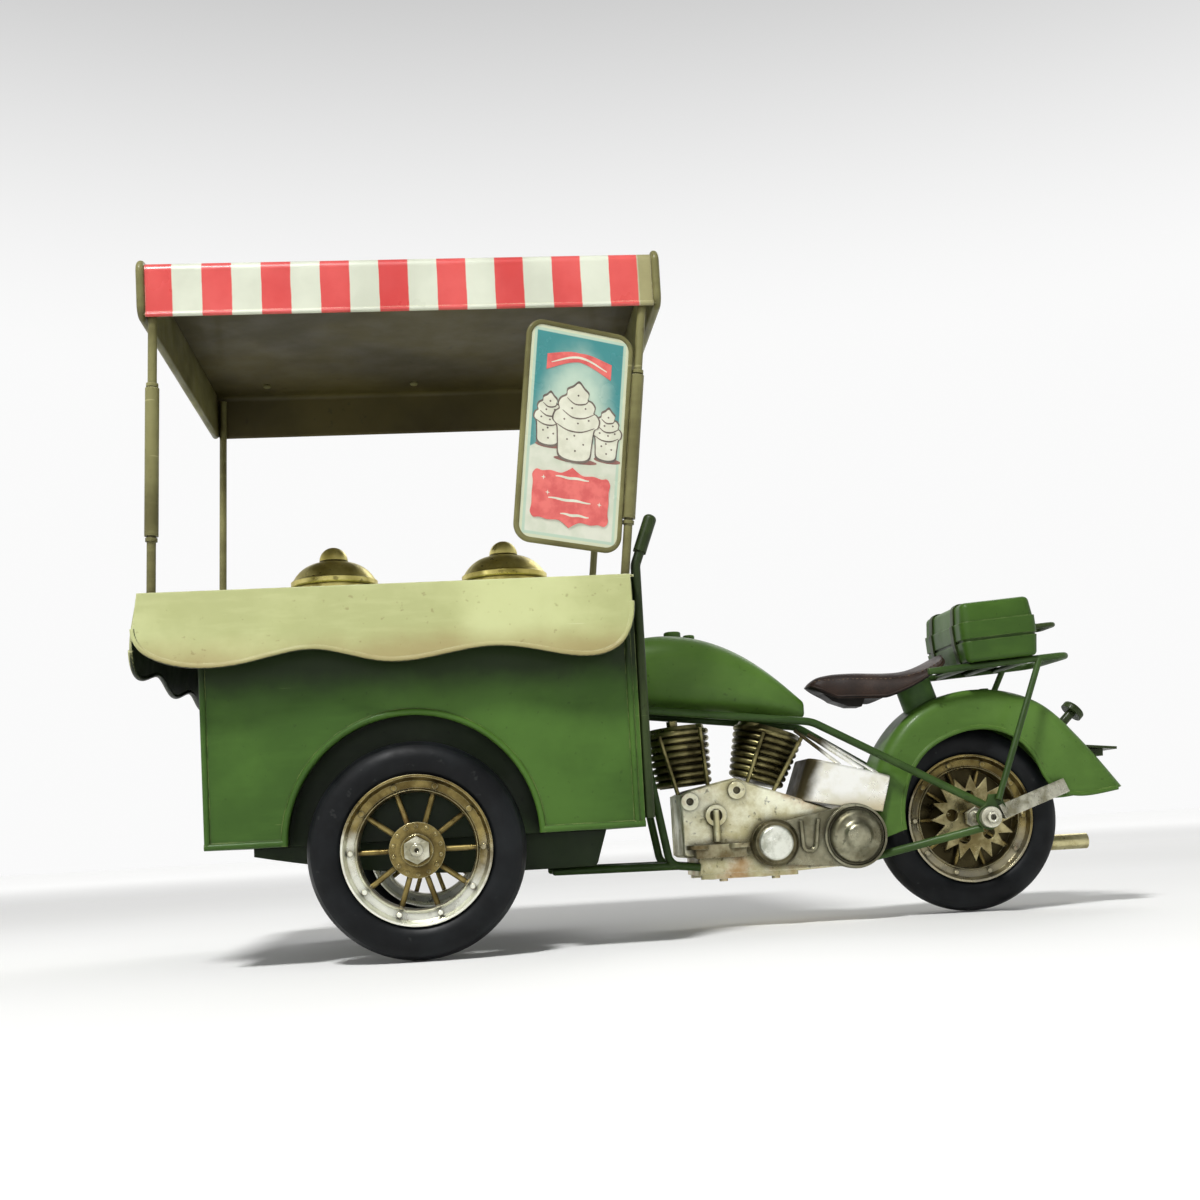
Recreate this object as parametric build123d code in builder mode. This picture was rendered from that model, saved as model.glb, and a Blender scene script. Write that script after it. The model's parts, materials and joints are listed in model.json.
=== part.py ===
from build123d import *
import os
from math import cos, sin, radians

# Three-wheeled ice-cream motorcycle in tinplate: a serving cart with a canopy in
# front, the engine, saddle and single driven wheel behind. Millimetres.
# The vehicle faces -X, its left side is -Y, +Z is up and the ground is Z = 0.
os.makedirs("parts", exist_ok=True)

# Driving dimensions
TIN = 0.8             # sheet thickness
WHEEL_R = 36.0        # tyre radius, all three wheels
TYRE_W = 17.0
RIM_R = 24.6
AXLE_R = 2.0
BORE_R = 2.06         # running fit on the axles
FRONT_X = -91.4       # front axle
REAR_X = 119.4        # rear axle
TRACK_Y = 74.0        # middle plane of each front wheel

CART_FRONT = -160.4
CART_REAR = -15.2
CART_Y = 73.6         # outer face of the side panels
INNER_Y = 72.4        # half-length of everything that fits between the side panels
SILL_Z = 39.5
ARCH_X = -92.1
ARCH_R = 42.4
WELL_Y = 60.0
COUNTER_Z = 124.0
COUNTER_FRONT = -177.2
COUNTER_Y = 80.0
FLARE = 10.0          # outward lean of the valances, degrees
TUB_X = (-120.5, -55.6)
TUB_R = 15.0
LID_Z = 137.0

POST_R = 1.5
POST_Y = 74.2
SLEEVE_R = 1.56
ROOF_FRONT = -173.0
ROOF_REAR = -2.4
ROOF_Y = 76.5
ROOF_LIP_Z = 218.4
ROOF_TOP_Z = 236.6
SIGN_W = 36.8         # centre to centre of the sign's wire frame
SIGN_H = 74.0
SIGN_Z = 169.0

TUBE_R = 1.5          # motorcycle frame tubes
FENDER_Y = 13.0
RACK_TILT = 4.1       # degrees, rear end up


def mirrored(piece):
    """The same piece on the other side of the vehicle."""
    with BuildPart() as twin:
        mirror(piece, about=Plane.XZ)
    return twin.part


def both_sides(piece):
    """The piece and its mirror image as one group of solids."""
    with BuildPart() as pair:
        add(piece)
        mirror(piece, about=Plane.XZ)
    return pair.part


def round_bar(points, radius, bend=0.0):
    """Round wire or tube that follows a bent line."""
    with BuildPart() as bar:
        with BuildLine() as path:
            if bend > 0:
                FilletPolyline(*points, radius=bend)
            else:
                Polyline(*points)
        with BuildSketch(Plane(origin=path.line @ 0, z_dir=path.line % 0)):
            Circle(radius)
        sweep()
    return bar.part


def wheel_plane(x, y):
    """Plane through a wheel's axis: local x runs along +Y, local y straight up."""
    return Plane(origin=(x, y, WHEEL_R), x_dir=(0, 1, 0), z_dir=(1, 0, 0))


def wheel_axis(x):
    return Axis((x, 0, WHEEL_R), (0, 1, 0))


# ---------------------------------------------------------------- cart body
PANEL_TOP = COUNTER_Z - TIN
PANEL_H = PANEL_TOP - SILL_Z
PANEL_MID_X = (CART_FRONT + CART_REAR) / 2
PANEL_MID_Z = (PANEL_TOP + SILL_Z) / 2

# Side panel with its wheel arch, and the rolled wire edges soldered to it
with BuildPart() as cart_side:
    with BuildSketch(Plane.XZ.offset(CART_Y - TIN)):
        with Locations((PANEL_MID_X, PANEL_MID_Z)):
            Rectangle(CART_REAR - CART_FRONT, PANEL_H)
        with Locations((ARCH_X, SILL_Z)):
            Circle(ARCH_R, mode=Mode.SUBTRACT)
    extrude(amount=TIN)
    with BuildLine(Plane.XZ.offset(CART_Y)) as arch_edge:
        CenterArc((ARCH_X, SILL_Z), ARCH_R, 0, 180)
    with BuildSketch(Plane(origin=arch_edge.line @ 0, z_dir=arch_edge.line % 0)):
        Circle(1.1)
    sweep(path=arch_edge.line)
    for start, end in ((CART_FRONT, ARCH_X - ARCH_R), (ARCH_X + ARCH_R, CART_REAR)):
        with BuildSketch(Plane.YZ.offset(start)):
            with Locations((-CART_Y, SILL_Z + 1.1)):
                Circle(1.1)
        extrude(amount=end - start)
    for seam_x in (CART_FRONT + 1.0, CART_REAR - 2.7):
        with BuildSketch(Plane.XY.offset(SILL_Z + 1.1)):
            with Locations((seam_x, -CART_Y)):
                Circle(1.0)
        extrude(amount=PANEL_TOP - SILL_Z - 1.1)

with BuildPart() as cart_front_panel:
    with BuildSketch(Plane.YZ.offset(CART_FRONT)):
        with Locations((0, PANEL_MID_Z)):
            Rectangle(2 * INNER_Y, PANEL_H)
    extrude(amount=TIN)

with BuildPart() as cart_rear_panel:
    with BuildSketch(Plane.YZ.offset(CART_REAR - TIN)):
        with Locations((0, PANEL_MID_Z)):
            Rectangle(2 * INNER_Y, PANEL_H)
    extrude(amount=TIN)

# Floor, notched for the wheel wells, with two brackets that carry the axle
WELL_R = ARCH_R + TIN
with BuildPart() as cart_floor:
    with BuildSketch(Plane.XY.offset(SILL_Z)):
        with Locations((PANEL_MID_X, 0)):
            Rectangle(CART_REAR - CART_FRONT - 2 * TIN, 2 * INNER_Y)
        with Locations((ARCH_X, 0)):
            Rectangle(2 * WELL_R, 2 * INNER_Y, mode=Mode.SUBTRACT)
            Rectangle(2 * WELL_R, 2 * (WELL_Y - TIN))
    extrude(amount=TIN)
    with BuildSketch(Plane.XZ):
        with Locations((FRONT_X, SILL_Z - 3.0)):
            Rectangle(14, 6.0)
        with Locations((FRONT_X, WHEEL_R)):
            Circle(4.6)
            Circle(AXLE_R + 0.02, mode=Mode.SUBTRACT)
    bracket_face = extrude(amount=0.75, both=True, mode=Mode.PRIVATE)
    with Locations((0, 50, 0), (0, -50, 0)):
        add(bracket_face)

# Wheel well: a half drum behind the arch, closed by an inner wall
with BuildPart() as wheel_well:
    with BuildSketch(Plane.XZ.offset(WELL_Y - TIN)):
        with BuildLine():
            CenterArc((ARCH_X, SILL_Z), WELL_R, 0, 180)
            Line((ARCH_X - WELL_R, SILL_Z), (ARCH_X + WELL_R, SILL_Z))
        make_face()
    extrude(amount=INNER_Y - WELL_Y + TIN)
    with BuildSketch(Plane.XZ.offset(WELL_Y)):
        with Locations((ARCH_X, SILL_Z)):
            Circle(ARCH_R)
    extrude(amount=INNER_Y, mode=Mode.SUBTRACT)

# Shallow pan that hangs under the floor between the wheels
with BuildPart() as belly_pan:
    with BuildSketch(Plane.XZ):
        with BuildLine():
            Line((-25.3, SILL_Z), (-149.1, SILL_Z))
            Line((-149.1, SILL_Z), (-149.1, 36.6))
            Spline((-149.1, 36.6), (-118.0, 31.0), (-84.0, 27.4), (-55.0, 26.6), (-29.3, 26.8))
            Line((-29.3, 26.8), (-25.3, SILL_Z))
        make_face()
    extrude(amount=40, both=True)
    fillet(belly_pan.edges().filter_by(Axis.Y).group_by(Axis.Z)[0], radius=2.0)
    with BuildSketch(Plane.XZ):
        with BuildLine():
            Line((-26.4, SILL_Z), (-148.3, SILL_Z))
            Line((-148.3, SILL_Z), (-148.3, 37.2))
            Spline((-148.3, 37.2), (-118.0, 31.9), (-84.0, 28.3), (-55.0, 27.5), (-31.5, 27.7))
            Line((-31.5, 27.7), (-26.4, SILL_Z))
        make_face()
    extrude(amount=40 - TIN, both=True, mode=Mode.SUBTRACT)
    with BuildSketch(Plane.XZ):
        with Locations((FRONT_X, WHEEL_R)):
            Circle(AXLE_R + 0.1)
    extrude(amount=60, both=True, mode=Mode.SUBTRACT)

# ------------------------------------------------------- counter and valances
with BuildPart() as counter_top:
    with BuildSketch(Plane.XY.offset(PANEL_TOP)):
        with Locations(((COUNTER_FRONT + CART_REAR) / 2, 0)):
            Rectangle(CART_REAR - COUNTER_FRONT, 2 * COUNTER_Y)
        with Locations((TUB_X[0], 0), (TUB_X[1], 0)):
            Circle(TUB_R + 0.05, mode=Mode.SUBTRACT)
    extrude(amount=TIN)


def drop(z):
    """Distance down the flared valance at height z."""
    return (z - COUNTER_Z) / cos(radians(FLARE))


# Waved skirt that leans out from the counter's side edge, rolled along the bottom
side_plane = Plane(
    origin=(0, -COUNTER_Y, COUNTER_Z),
    x_dir=(1, 0, 0),
    z_dir=(0, -cos(radians(FLARE)), sin(radians(FLARE))),
)
SIDE_WAVE = (
    (-179.3, drop(112.0)), (-176.3, drop(105.1)), (-169.0, drop(100.9)), (-158.0, drop(98.8)),
    (-143.4, drop(99.9)), (-121.4, drop(103.4)), (-98.8, drop(98.4)), (-81.4, drop(99.6)),
    (-62.4, drop(102.0)), (-46.5, drop(99.5)), (-35.0, drop(97.3)), (-26.7, drop(97.9)),
    (-20.6, drop(101.7)), (-17.4, drop(107.6)), (-16.4, drop(114.5)),
)
with BuildPart() as valance_side:
    with BuildSketch(side_plane):
        with BuildLine():
            Polyline((-179.3, drop(112.0)), (-177.2 - TIN, 0), (-16.4, 0), (-16.4, drop(114.5)))
            Spline(*SIDE_WAVE)
        make_face()
    extrude(amount=TIN)
    with BuildLine(side_plane.offset(TIN / 2)) as side_hem:
        Spline(*SIDE_WAVE)
    with BuildSketch(Plane(origin=side_hem.line @ 0, z_dir=side_hem.line % 0)):
        Circle(0.85)
    sweep(path=side_hem.line)

front_plane = Plane(
    origin=(COUNTER_FRONT, 0, COUNTER_Z),
    x_dir=(0, -1, 0),
    z_dir=(-cos(radians(FLARE)), 0, sin(radians(FLARE))),
)
HALF_WAVE = (
    (81.2, drop(112.0)), (78.6, drop(105.6)), (72.0, drop(101.0)), (60.0, drop(98.8)),
    (32.0, drop(102.8)),
)
FRONT_WAVE = HALF_WAVE + ((0.0, drop(98.4)),) + tuple((-y, s) for y, s in reversed(HALF_WAVE))
with BuildPart() as valance_front:
    with BuildSketch(front_plane):
        with BuildLine():
            Polyline((81.2, drop(112.0)), (79.9, 0), (-79.9, 0), (-81.2, drop(112.0)))
            Spline(*FRONT_WAVE)
        make_face()
    extrude(amount=TIN)
    with BuildLine(front_plane.offset(TIN / 2)) as front_hem:
        Spline(*FRONT_WAVE[1:-1])
    with BuildSketch(Plane(origin=front_hem.line @ 0, z_dir=front_hem.line % 0)):
        Circle(0.85)
    sweep(path=front_hem.line)


# ------------------------------------------------------------- tubs and lids
# Round can let into the counter, with a seating flange
with BuildPart() as tub:
    with BuildSketch(Plane.XZ):
        with BuildLine():
            Polyline(
                (0, 100.0), (TUB_R, 100.0), (TUB_R, COUNTER_Z), (TUB_R + 2.6, COUNTER_Z),
                (TUB_R + 2.6, COUNTER_Z + 1.0), (TUB_R, COUNTER_Z + 1.0), (TUB_R, LID_Z),
                (TUB_R - TIN, LID_Z), (TUB_R - TIN, 100.0 + TIN), (0, 100.0 + TIN), close=True,
            )
        make_face()
    revolve(axis=Axis.Z)

# Domed sheet lid: rim, spigot, stepped dome, neck and ball knob
with BuildPart() as lid:
    with BuildSketch(Plane.XZ):
        with BuildLine():
            Polyline((0, 144.9), (3.0, 144.9))
            Spline((3.0, 144.9), (8.6, 143.2), (12.4, 139.4), (12.9, 136.8))
            Polyline(
                (12.9, 136.8), (12.9, LID_Z - 2.6), (13.8, LID_Z - 2.6), (13.8, LID_Z),
                (16.0, LID_Z), (16.4, LID_Z + 0.5), (16.4, LID_Z + 2.2), (15.6, LID_Z + 2.8),
            )
            Spline((15.6, LID_Z + 2.8), (13.6, 142.6), (9.4, 145.6), (4.4, 146.6))
            Polyline((4.4, 146.6), (4.2, 147.3), (5.4, 147.3))
            CenterArc((0, 147.3), 5.4, 0, 90)
            Line((0, 152.7), (0, 144.9))
        make_face()
    revolve(axis=Axis.Z)



def at_tub(piece, x):
    with BuildPart() as placed:
        with Locations((x, 0, 0)):
            add(piece)
    return placed.part


# --------------------------------------------------------- posts and canopy
def post(foot, head, collar_heights=()):
    """Leaning canopy post, cut level at both ends, with sign collars if it carries one."""
    line = Vector(*head) - Vector(*foot)
    start = Vector(*foot) - line * 0.05
    with BuildPart() as rod:
        with BuildSketch(Plane(origin=start, z_dir=line)):
            Circle(POST_R)
        extrude(amount=line.length * 1.1)
        for height in collar_heights:
            centre = Vector(*foot) + line * ((height - foot[2]) / line.Z)
            with BuildSketch(Plane(origin=centre, z_dir=line)):
                Circle(POST_R + 0.5)
            extrude(amount=1.2)
        with BuildSketch(Plane.XY.offset(COUNTER_Z)):
            with Locations((foot[0], foot[1])):
                Circle(POST_R + 0.7)
        extrude(amount=1.0)
        split(bisect_by=Plane.XY.offset(COUNTER_Z), keep=Keep.TOP)
        split(bisect_by=Plane.XY.offset(ROOF_TOP_Z - 3.4), keep=Keep.BOTTOM)
    return rod.part


FRONT_FOOT = (-174.6, -POST_Y, COUNTER_Z)
FRONT_HEAD = (-170.5, -POST_Y, ROOF_TOP_Z - TIN)
REAR_FOOT = (-17.5, -POST_Y, COUNTER_Z)
REAR_HEAD = (-4.1, -POST_Y, ROOF_TOP_Z - TIN)
COLLARS = (SIGN_Z - 26.8, SIGN_Z + 25.4)

# Canopy sheet folded down along both sides, with a rolled lip
with BuildPart() as roof_sheet:
    with BuildSketch(Plane.YZ.offset(ROOF_FRONT)) as fold:
        with Locations((0, (ROOF_LIP_Z + ROOF_TOP_Z) / 2)):
            Rectangle(2 * ROOF_Y, ROOF_TOP_Z - ROOF_LIP_Z)
        fillet(fold.vertices().group_by(Axis.Y)[-1], radius=3.0)
    extrude(amount=ROOF_REAR - ROOF_FRONT)
    with BuildSketch(Plane.YZ.offset(ROOF_FRONT)) as inside:
        with Locations((0, (ROOF_LIP_Z + ROOF_TOP_Z - TIN) / 2 - 1)):
            Rectangle(2 * (ROOF_Y - TIN), ROOF_TOP_Z - TIN - ROOF_LIP_Z + 2)
        fillet(inside.vertices().group_by(Axis.Y)[-1], radius=2.2)
    extrude(amount=ROOF_REAR - ROOF_FRONT, mode=Mode.SUBTRACT)
    with BuildSketch(Plane.YZ.offset(ROOF_FRONT)):
        with Locations((ROOF_Y, ROOF_LIP_Z), (-ROOF_Y, ROOF_LIP_Z)):
            Circle(0.8)
    extrude(amount=ROOF_REAR - ROOF_FRONT)


def roof_end(x, outward):
    """End plate of the canopy with the thick rolled bead round its edge."""
    with BuildPart() as end_plate:
        with BuildSketch(Plane.YZ.offset(x)) as outline:
            with Locations((0, (ROOF_LIP_Z + ROOF_TOP_Z) / 2)):
                Rectangle(2 * ROOF_Y, ROOF_TOP_Z - ROOF_LIP_Z)
            fillet(outline.vertices().group_by(Axis.Y)[-1], radius=3.0)
        extrude(amount=outward * TIN)
        with BuildLine(Plane.YZ.offset(x + outward * 1.4)) as bead:
            FilletPolyline(
                (-ROOF_Y, ROOF_LIP_Z), (-ROOF_Y, ROOF_TOP_Z), (ROOF_Y, ROOF_TOP_Z),
                (ROOF_Y, ROOF_LIP_Z), radius=3.4, close=True,
            )
        with BuildSketch(Plane(origin=bead.line @ 0, z_dir=bead.line % 0)):
            Circle(1.4)
        sweep(path=bead.line)
    return end_plate.part


with BuildPart() as roof_ends:
    add(roof_end(ROOF_FRONT, -1))
    add(roof_end(ROOF_REAR, 1))

# Small dome-headed screws under the canopy
SCREW_SPOTS = [
    (x, side * y) for x, y in ((-150.0, 60.0), (-28.0, 60.0), (-88.0, 62.0)) for side in (-1, 1)
]
with BuildPart() as roof_screws:
    with BuildSketch(Plane.XY.offset(ROOF_TOP_Z - TIN - 1.3)):
        with Locations(*SCREW_SPOTS):
            Circle(1.7)
    extrude(amount=1.3)
    fillet(roof_screws.edges().group_by(Axis.Z)[0], radius=0.9)


# ---------------------------------------------------------------------- signs
def sign_plane(foot, head, swing):
    """Plane of a sign: origin on its post, local y up the post, local x to the free edge.

    At swing 0 the sign points to the front along the cart's side; positive swings it out.
    """
    up = (Vector(*head) - Vector(*foot)).normalized()
    ahead = Vector(-up.Z, 0, up.X)
    side = up.cross(ahead)
    toward = ahead * cos(radians(swing)) + side * sin(radians(swing))
    centre = Vector(*foot) + up * ((SIGN_Z - foot[2]) / up.Z)
    return Plane(origin=centre, x_dir=toward, z_dir=toward.cross(up))


SIGN_IN = 3.15        # from the post's axis to the near wire
SIGN_MID = SIGN_IN + SIGN_W / 2
WIRE_R = 0.9


def sign_panel(plane):
    with BuildPart() as board:
        with BuildSketch(plane.offset(-0.5)):
            with Locations((SIGN_MID, 0)):
                RectangleRounded(SIGN_W - 1.5, SIGN_H - 1.5, 4.25)
        extrude(amount=1.0)
    return board.part


def sign_frame(plane, board):
    """Wire loop round the sign, soldered to the sleeve that turns on the post."""
    with BuildPart() as loop:
        with BuildSketch(plane.offset(-WIRE_R)):
            with Locations((SIGN_MID, 0)):
                RectangleRounded(SIGN_W + 2 * WIRE_R, SIGN_H + 2 * WIRE_R, 5.0 + WIRE_R)
                RectangleRounded(
                    SIGN_W - 2 * WIRE_R, SIGN_H - 2 * WIRE_R, 5.0 - WIRE_R, mode=Mode.SUBTRACT
                )
        extrude(amount=2 * WIRE_R)
        fillet(loop.edges(), radius=0.68)
        sleeve_plane = Plane(origin=plane.from_local_coords((0, -25, 0)), z_dir=plane.y_dir)
        with BuildSketch(sleeve_plane):
            Circle(SLEEVE_R + 0.75)
            Circle(SLEEVE_R, mode=Mode.SUBTRACT)
        extrude(amount=50)
        add(board, mode=Mode.SUBTRACT)
    return loop.part


rear_sign_plane = sign_plane(REAR_FOOT, REAR_HEAD, 17)
front_sign_plane = sign_plane(FRONT_FOOT, FRONT_HEAD, -79)
sign_rear_panel = sign_panel(rear_sign_plane)
sign_rear_frame = sign_frame(rear_sign_plane, sign_rear_panel)
sign_front_panel = sign_panel(front_sign_plane)
sign_front_frame = sign_frame(front_sign_plane, sign_front_panel)


# --------------------------------------------------------------------- wheels
def tyre(x, y):
    with BuildPart() as ring:
        with BuildSketch(wheel_plane(x, y)):
            with BuildLine():
                ThreePointArc((-6.4, RIM_R), (-TYRE_W / 2, 29.6), (-6.2, 34.4))
                ThreePointArc((-6.2, 34.4), (0, WHEEL_R), (6.2, 34.4))
                ThreePointArc((6.2, 34.4), (TYRE_W / 2, 29.6), (6.4, RIM_R))
                Line((6.4, RIM_R), (-6.4, RIM_R))
            make_face()
        revolve(axis=wheel_axis(x))
    return ring.part


def rim_ring():
    # Half section of a dished rim, local x across the wheel, local y the radius
    Polyline(
        (-7.8, 24.7), (-6.9, 24.7), (-6.6, RIM_R), (6.6, RIM_R), (6.9, 24.7), (7.8, 24.7),
        (7.8, 23.9), (5.6, 22.8), (5.0, 20.4), (5.8, 19.7), (4.6, 19.2), (-4.6, 19.2),
        (-5.8, 19.7), (-5.0, 20.4), (-5.6, 22.8), (-7.8, 23.9), close=True,
    )


def wheel_body(x, y, outer, spoke_r, barrel, backed=False):
    """Rim, ten spokes, rivets and hub in one soldered piece; outer is the show face.

    A backed wheel has a thin plate behind its spokes that closes the gaps between them.
    """
    with BuildPart() as body:
        with BuildSketch(wheel_plane(x, y)):
            with BuildLine():
                rim_ring()
            make_face()
        revolve(axis=wheel_axis(x))
        for k in range(10):
            turn = radians(36 * k)
            spoke = Plane(
                origin=(x + 4.0 * cos(turn), y + outer * 2.2, WHEEL_R + 4.0 * sin(turn)),
                z_dir=(cos(turn), 0, sin(turn)),
            )
            with BuildSketch(spoke):
                Circle(spoke_r)
            extrude(amount=15.8)
            rivet = Plane(
                origin=(x + 21.6 * cos(turn), y + outer * 5.0, WHEEL_R + 21.6 * sin(turn)),
                z_dir=(0, outer, 0),
            )
            with BuildSketch(rivet):
                Circle(0.85)
            extrude(amount=1.2)
        with BuildSketch(Plane(origin=(x, y - barrel, WHEEL_R), z_dir=(0, 1, 0))):
            Circle(5.2)
        extrude(amount=2 * barrel)
        with BuildSketch(Plane(origin=(x, y + outer * 3.2, WHEEL_R), z_dir=(0, outer, 0))):
            Circle(9.2)
        extrude(amount=1.6)
        with BuildSketch(Plane(origin=(x, y + outer * 4.8, WHEEL_R), z_dir=(0, outer, 0))):
            with PolarLocations(7.9, 14):
                Circle(0.55)
        extrude(amount=0.6)
        if backed:
            with BuildSketch(Plane(origin=(x, y, WHEEL_R), z_dir=(0, -outer, 0))):
                Circle(19.6)
            extrude(amount=TIN)
        with BuildSketch(Plane(origin=(x, y - 20, WHEEL_R), z_dir=(0, 1, 0))):
            Circle(BORE_R)
        extrude(amount=40, mode=Mode.SUBTRACT)
    return body.part


front_wheel_left = wheel_body(FRONT_X, -TRACK_Y, -1, 0.95, 8.0)
front_tyre_left = tyre(FRONT_X, -TRACK_Y)
rear_wheel = wheel_body(REAR_X, 0, -1, 0.7, 9.0, backed=True)
rear_tyre = tyre(REAR_X, 0)

# Front axle with its hex nuts, end bosses and the collars inside the wheels
with BuildPart() as front_axle:
    with BuildSketch(Plane(origin=(FRONT_X, -85.0, WHEEL_R), z_dir=(0, 1, 0))):
        Circle(AXLE_R)
    extrude(amount=170)
    for side in (-1, 1):
        with BuildSketch(Plane(origin=(FRONT_X, side * 82.2, WHEEL_R), z_dir=(0, side, 0))):
            RegularPolygon(4.6, 6)
        extrude(amount=2.4)
        with BuildSketch(Plane(origin=(FRONT_X, side * 85.4, WHEEL_R), z_dir=(0, side, 0))):
            Circle(0.8)
        extrude(amount=-2.0, mode=Mode.SUBTRACT)
        with BuildSketch(Plane(origin=(FRONT_X, side * 65.8, WHEEL_R), z_dir=(0, -side, 0))):
            Circle(3.4)
        extrude(amount=1.6)

# Rear axle: hex nuts, threaded spacers and large ring nuts outside the frame
with BuildPart() as rear_axle:
    with BuildSketch(Plane(origin=(REAR_X, -33.0, WHEEL_R), z_dir=(0, 1, 0))):
        Circle(AXLE_R)
    extrude(amount=66)
    for side in (-1, 1):
        with BuildSketch(Plane(origin=(REAR_X, side * 11.6, WHEEL_R), z_dir=(0, side, 0))):
            RegularPolygon(4.2, 6)
        extrude(amount=2.4)
        for turn in range(6):
            with BuildSketch(Plane(origin=(REAR_X, side * (14.0 + 1.4 * turn), WHEEL_R), z_dir=(0, side, 0))):
                Circle(2.8)
            extrude(amount=0.8)
        with BuildSketch(Plane(origin=(REAR_X, side * 28.4, WHEEL_R), z_dir=(0, side, 0))):
            Circle(3.9)
        extrude(amount=2.8)
        with BuildSketch(Plane(origin=(REAR_X, side * 33.0, WHEEL_R), z_dir=(0, side, 0))):
            Circle(1.1)
        extrude(amount=-1.6, mode=Mode.SUBTRACT)

# Star-shaped sprocket plate on the show side of the rear hub
TOOTH_TIP = 16.6
TOOTH_ROOT = 11.4
with BuildPart() as rear_sprocket:
    sprocket_plane = Plane(origin=(REAR_X, -9.2, WHEEL_R), x_dir=(1, 0, 0), z_dir=(0, -1, 0))
    with BuildSketch(sprocket_plane):
        star = []
        for k in range(16):
            star.append((TOOTH_TIP * cos(radians(22.5 * k)), TOOTH_TIP * sin(radians(22.5 * k))))
            star.append((TOOTH_ROOT * cos(radians(22.5 * k + 11.25)), TOOTH_ROOT * sin(radians(22.5 * k + 11.25))))
        Polygon(*star, align=None)
        with PolarLocations(8.3, 5, start_angle=170):
            Circle(2.4, mode=Mode.SUBTRACT)
        Circle(BORE_R, mode=Mode.SUBTRACT)
    extrude(amount=1.2)

# ---------------------------------------------------------- motorcycle frame
# Handlebar grip that rises from the rear corner of the cart
with BuildPart() as handlebar:
    add(round_bar(((-13.4, -71.8, 42.5), (-13.4, -71.8, 128.5), (-8.6, -70.4, 141.0)), 1.7, 5.0))
    with BuildSketch(Plane(origin=(-11.7, -71.3, 133.0), z_dir=(4.8, 1.4, 12.5))):
        Circle(2.3)
    extrude(amount=14.0)
    fillet(handlebar.edges().filter_by(GeomType.CIRCLE).group_by(Axis.Z)[-1], radius=1.8)


def dropout(side):
    """Small plate round the rear axle that joins the frame tubes."""
    with BuildPart() as plate:
        with BuildSketch(Plane(origin=(0, side * 27.0, 0), x_dir=(1, 0, 0), z_dir=(0, -1, 0))):
            with Locations((REAR_X, WHEEL_R)):
                Circle(4.6)
            with BuildLine():
                Polyline(
                    (REAR_X - 3.0, WHEEL_R), (REAR_X + 0.6, WHEEL_R + 8.6),
                    (REAR_X + 5.0, WHEEL_R + 8.6), (REAR_X + 7.0, WHEEL_R + 3.0),
                    (REAR_X + 7.0, WHEEL_R - 0.8), close=True,
                )
            make_face()
            with Locations((REAR_X, WHEEL_R)):
                Circle(AXLE_R + 0.02, mode=Mode.SUBTRACT)
        extrude(amount=-1.2 if side > 0 else 1.2)
    return plate.part


# Top tube and seat stay in one run, ending in the dropout plate
with BuildPart() as upper_tube:
    add(round_bar(((CART_REAR, -13.0, 84.6), (58.0, -13.4, 76.0), (119.0, -26.6, 40.3)), TUBE_R, 12.0))
    add(dropout(-1))
    with BuildSketch(Plane(origin=(REAR_X, 0, WHEEL_R), z_dir=(0, -1, 0))):
        Circle(AXLE_R + 0.02)
    extrude(amount=40, mode=Mode.SUBTRACT)
    split(bisect_by=Plane.YZ.offset(CART_REAR), keep=Keep.TOP)

# ---------------------------------------------------------------------- tank
TANK = (
    # x, bottom, top, half width
    (-14.8, 86.2, 108.6, 11.5),
    (3.0, 84.1, 112.4, 14.6),
    (18.0, 82.4, 110.2, 14.8),
    (33.0, 80.6, 103.8, 13.2),
    (47.0, 79.0, 93.6, 10.2),
    (57.4, 77.9, 84.6, 5.4),
)
with BuildPart() as fuel_tank:
    for x, low, high, half in TANK:
        with BuildSketch(Plane.YZ.offset(x)):
            with Locations((0, (low + high) / 2)):
                RectangleRounded(2 * half, high - low, min(half, (high - low) / 2) * 0.72)
    loft()
    fillet(fuel_tank.faces().sort_by(Axis.X)[-1].edges(), radius=1.8)

with BuildPart() as filler_caps:
    for x, radius, low, high in ((8.3, 3.3, 111.0, 114.4), (14.7, 2.3, 109.2, 112.9)):
        with BuildSketch(Plane.XY.offset(low)):
            with Locations((x, 0)):
                Circle(radius)
        extrude(amount=high - low)
    fillet(filler_caps.edges().filter_by(GeomType.CIRCLE).filter_by_position(Axis.Z, 112.5, 115), radius=0.7)
    add(fuel_tank.part, mode=Mode.SUBTRACT)

# -------------------------------------------------------------------- engine
CASE_Y = 14.5
with BuildPart() as crankcase:
    with BuildSketch(Plane.XZ):
        with BuildLine():
            Polyline(
                (5.6, 28.0), (5.6, 50.8), (9.6, 52.6), (26.8, 56.2), (33.0, 53.8),
                (66.0, 41.6), (72.0, 37.0), (72.0, 21.0), (50.0, 20.0), (11.0, 20.0),
                (11.0, 27.0), (7.0, 27.0), close=True,
            )
        make_face()
    extrude(amount=CASE_Y, both=True)
    chamfer(crankcase.faces().filter_by(Axis.Y).edges(), length=0.7)
    with BuildSketch(Plane.XY.offset(18.6)):
        with Locations((30.5, -12.6), (30.5, 12.6)):
            RectangleRounded(37.0, 3.4, 1.2)
    extrude(amount=2.0)
    with BuildSketch(Plane.XY.offset(17.6)):
        with GridLocations(20.0, 25.2, 2, 2):
            with Locations((30.5, 0)):
                Circle(1.6)
    extrude(amount=1.4)


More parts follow.
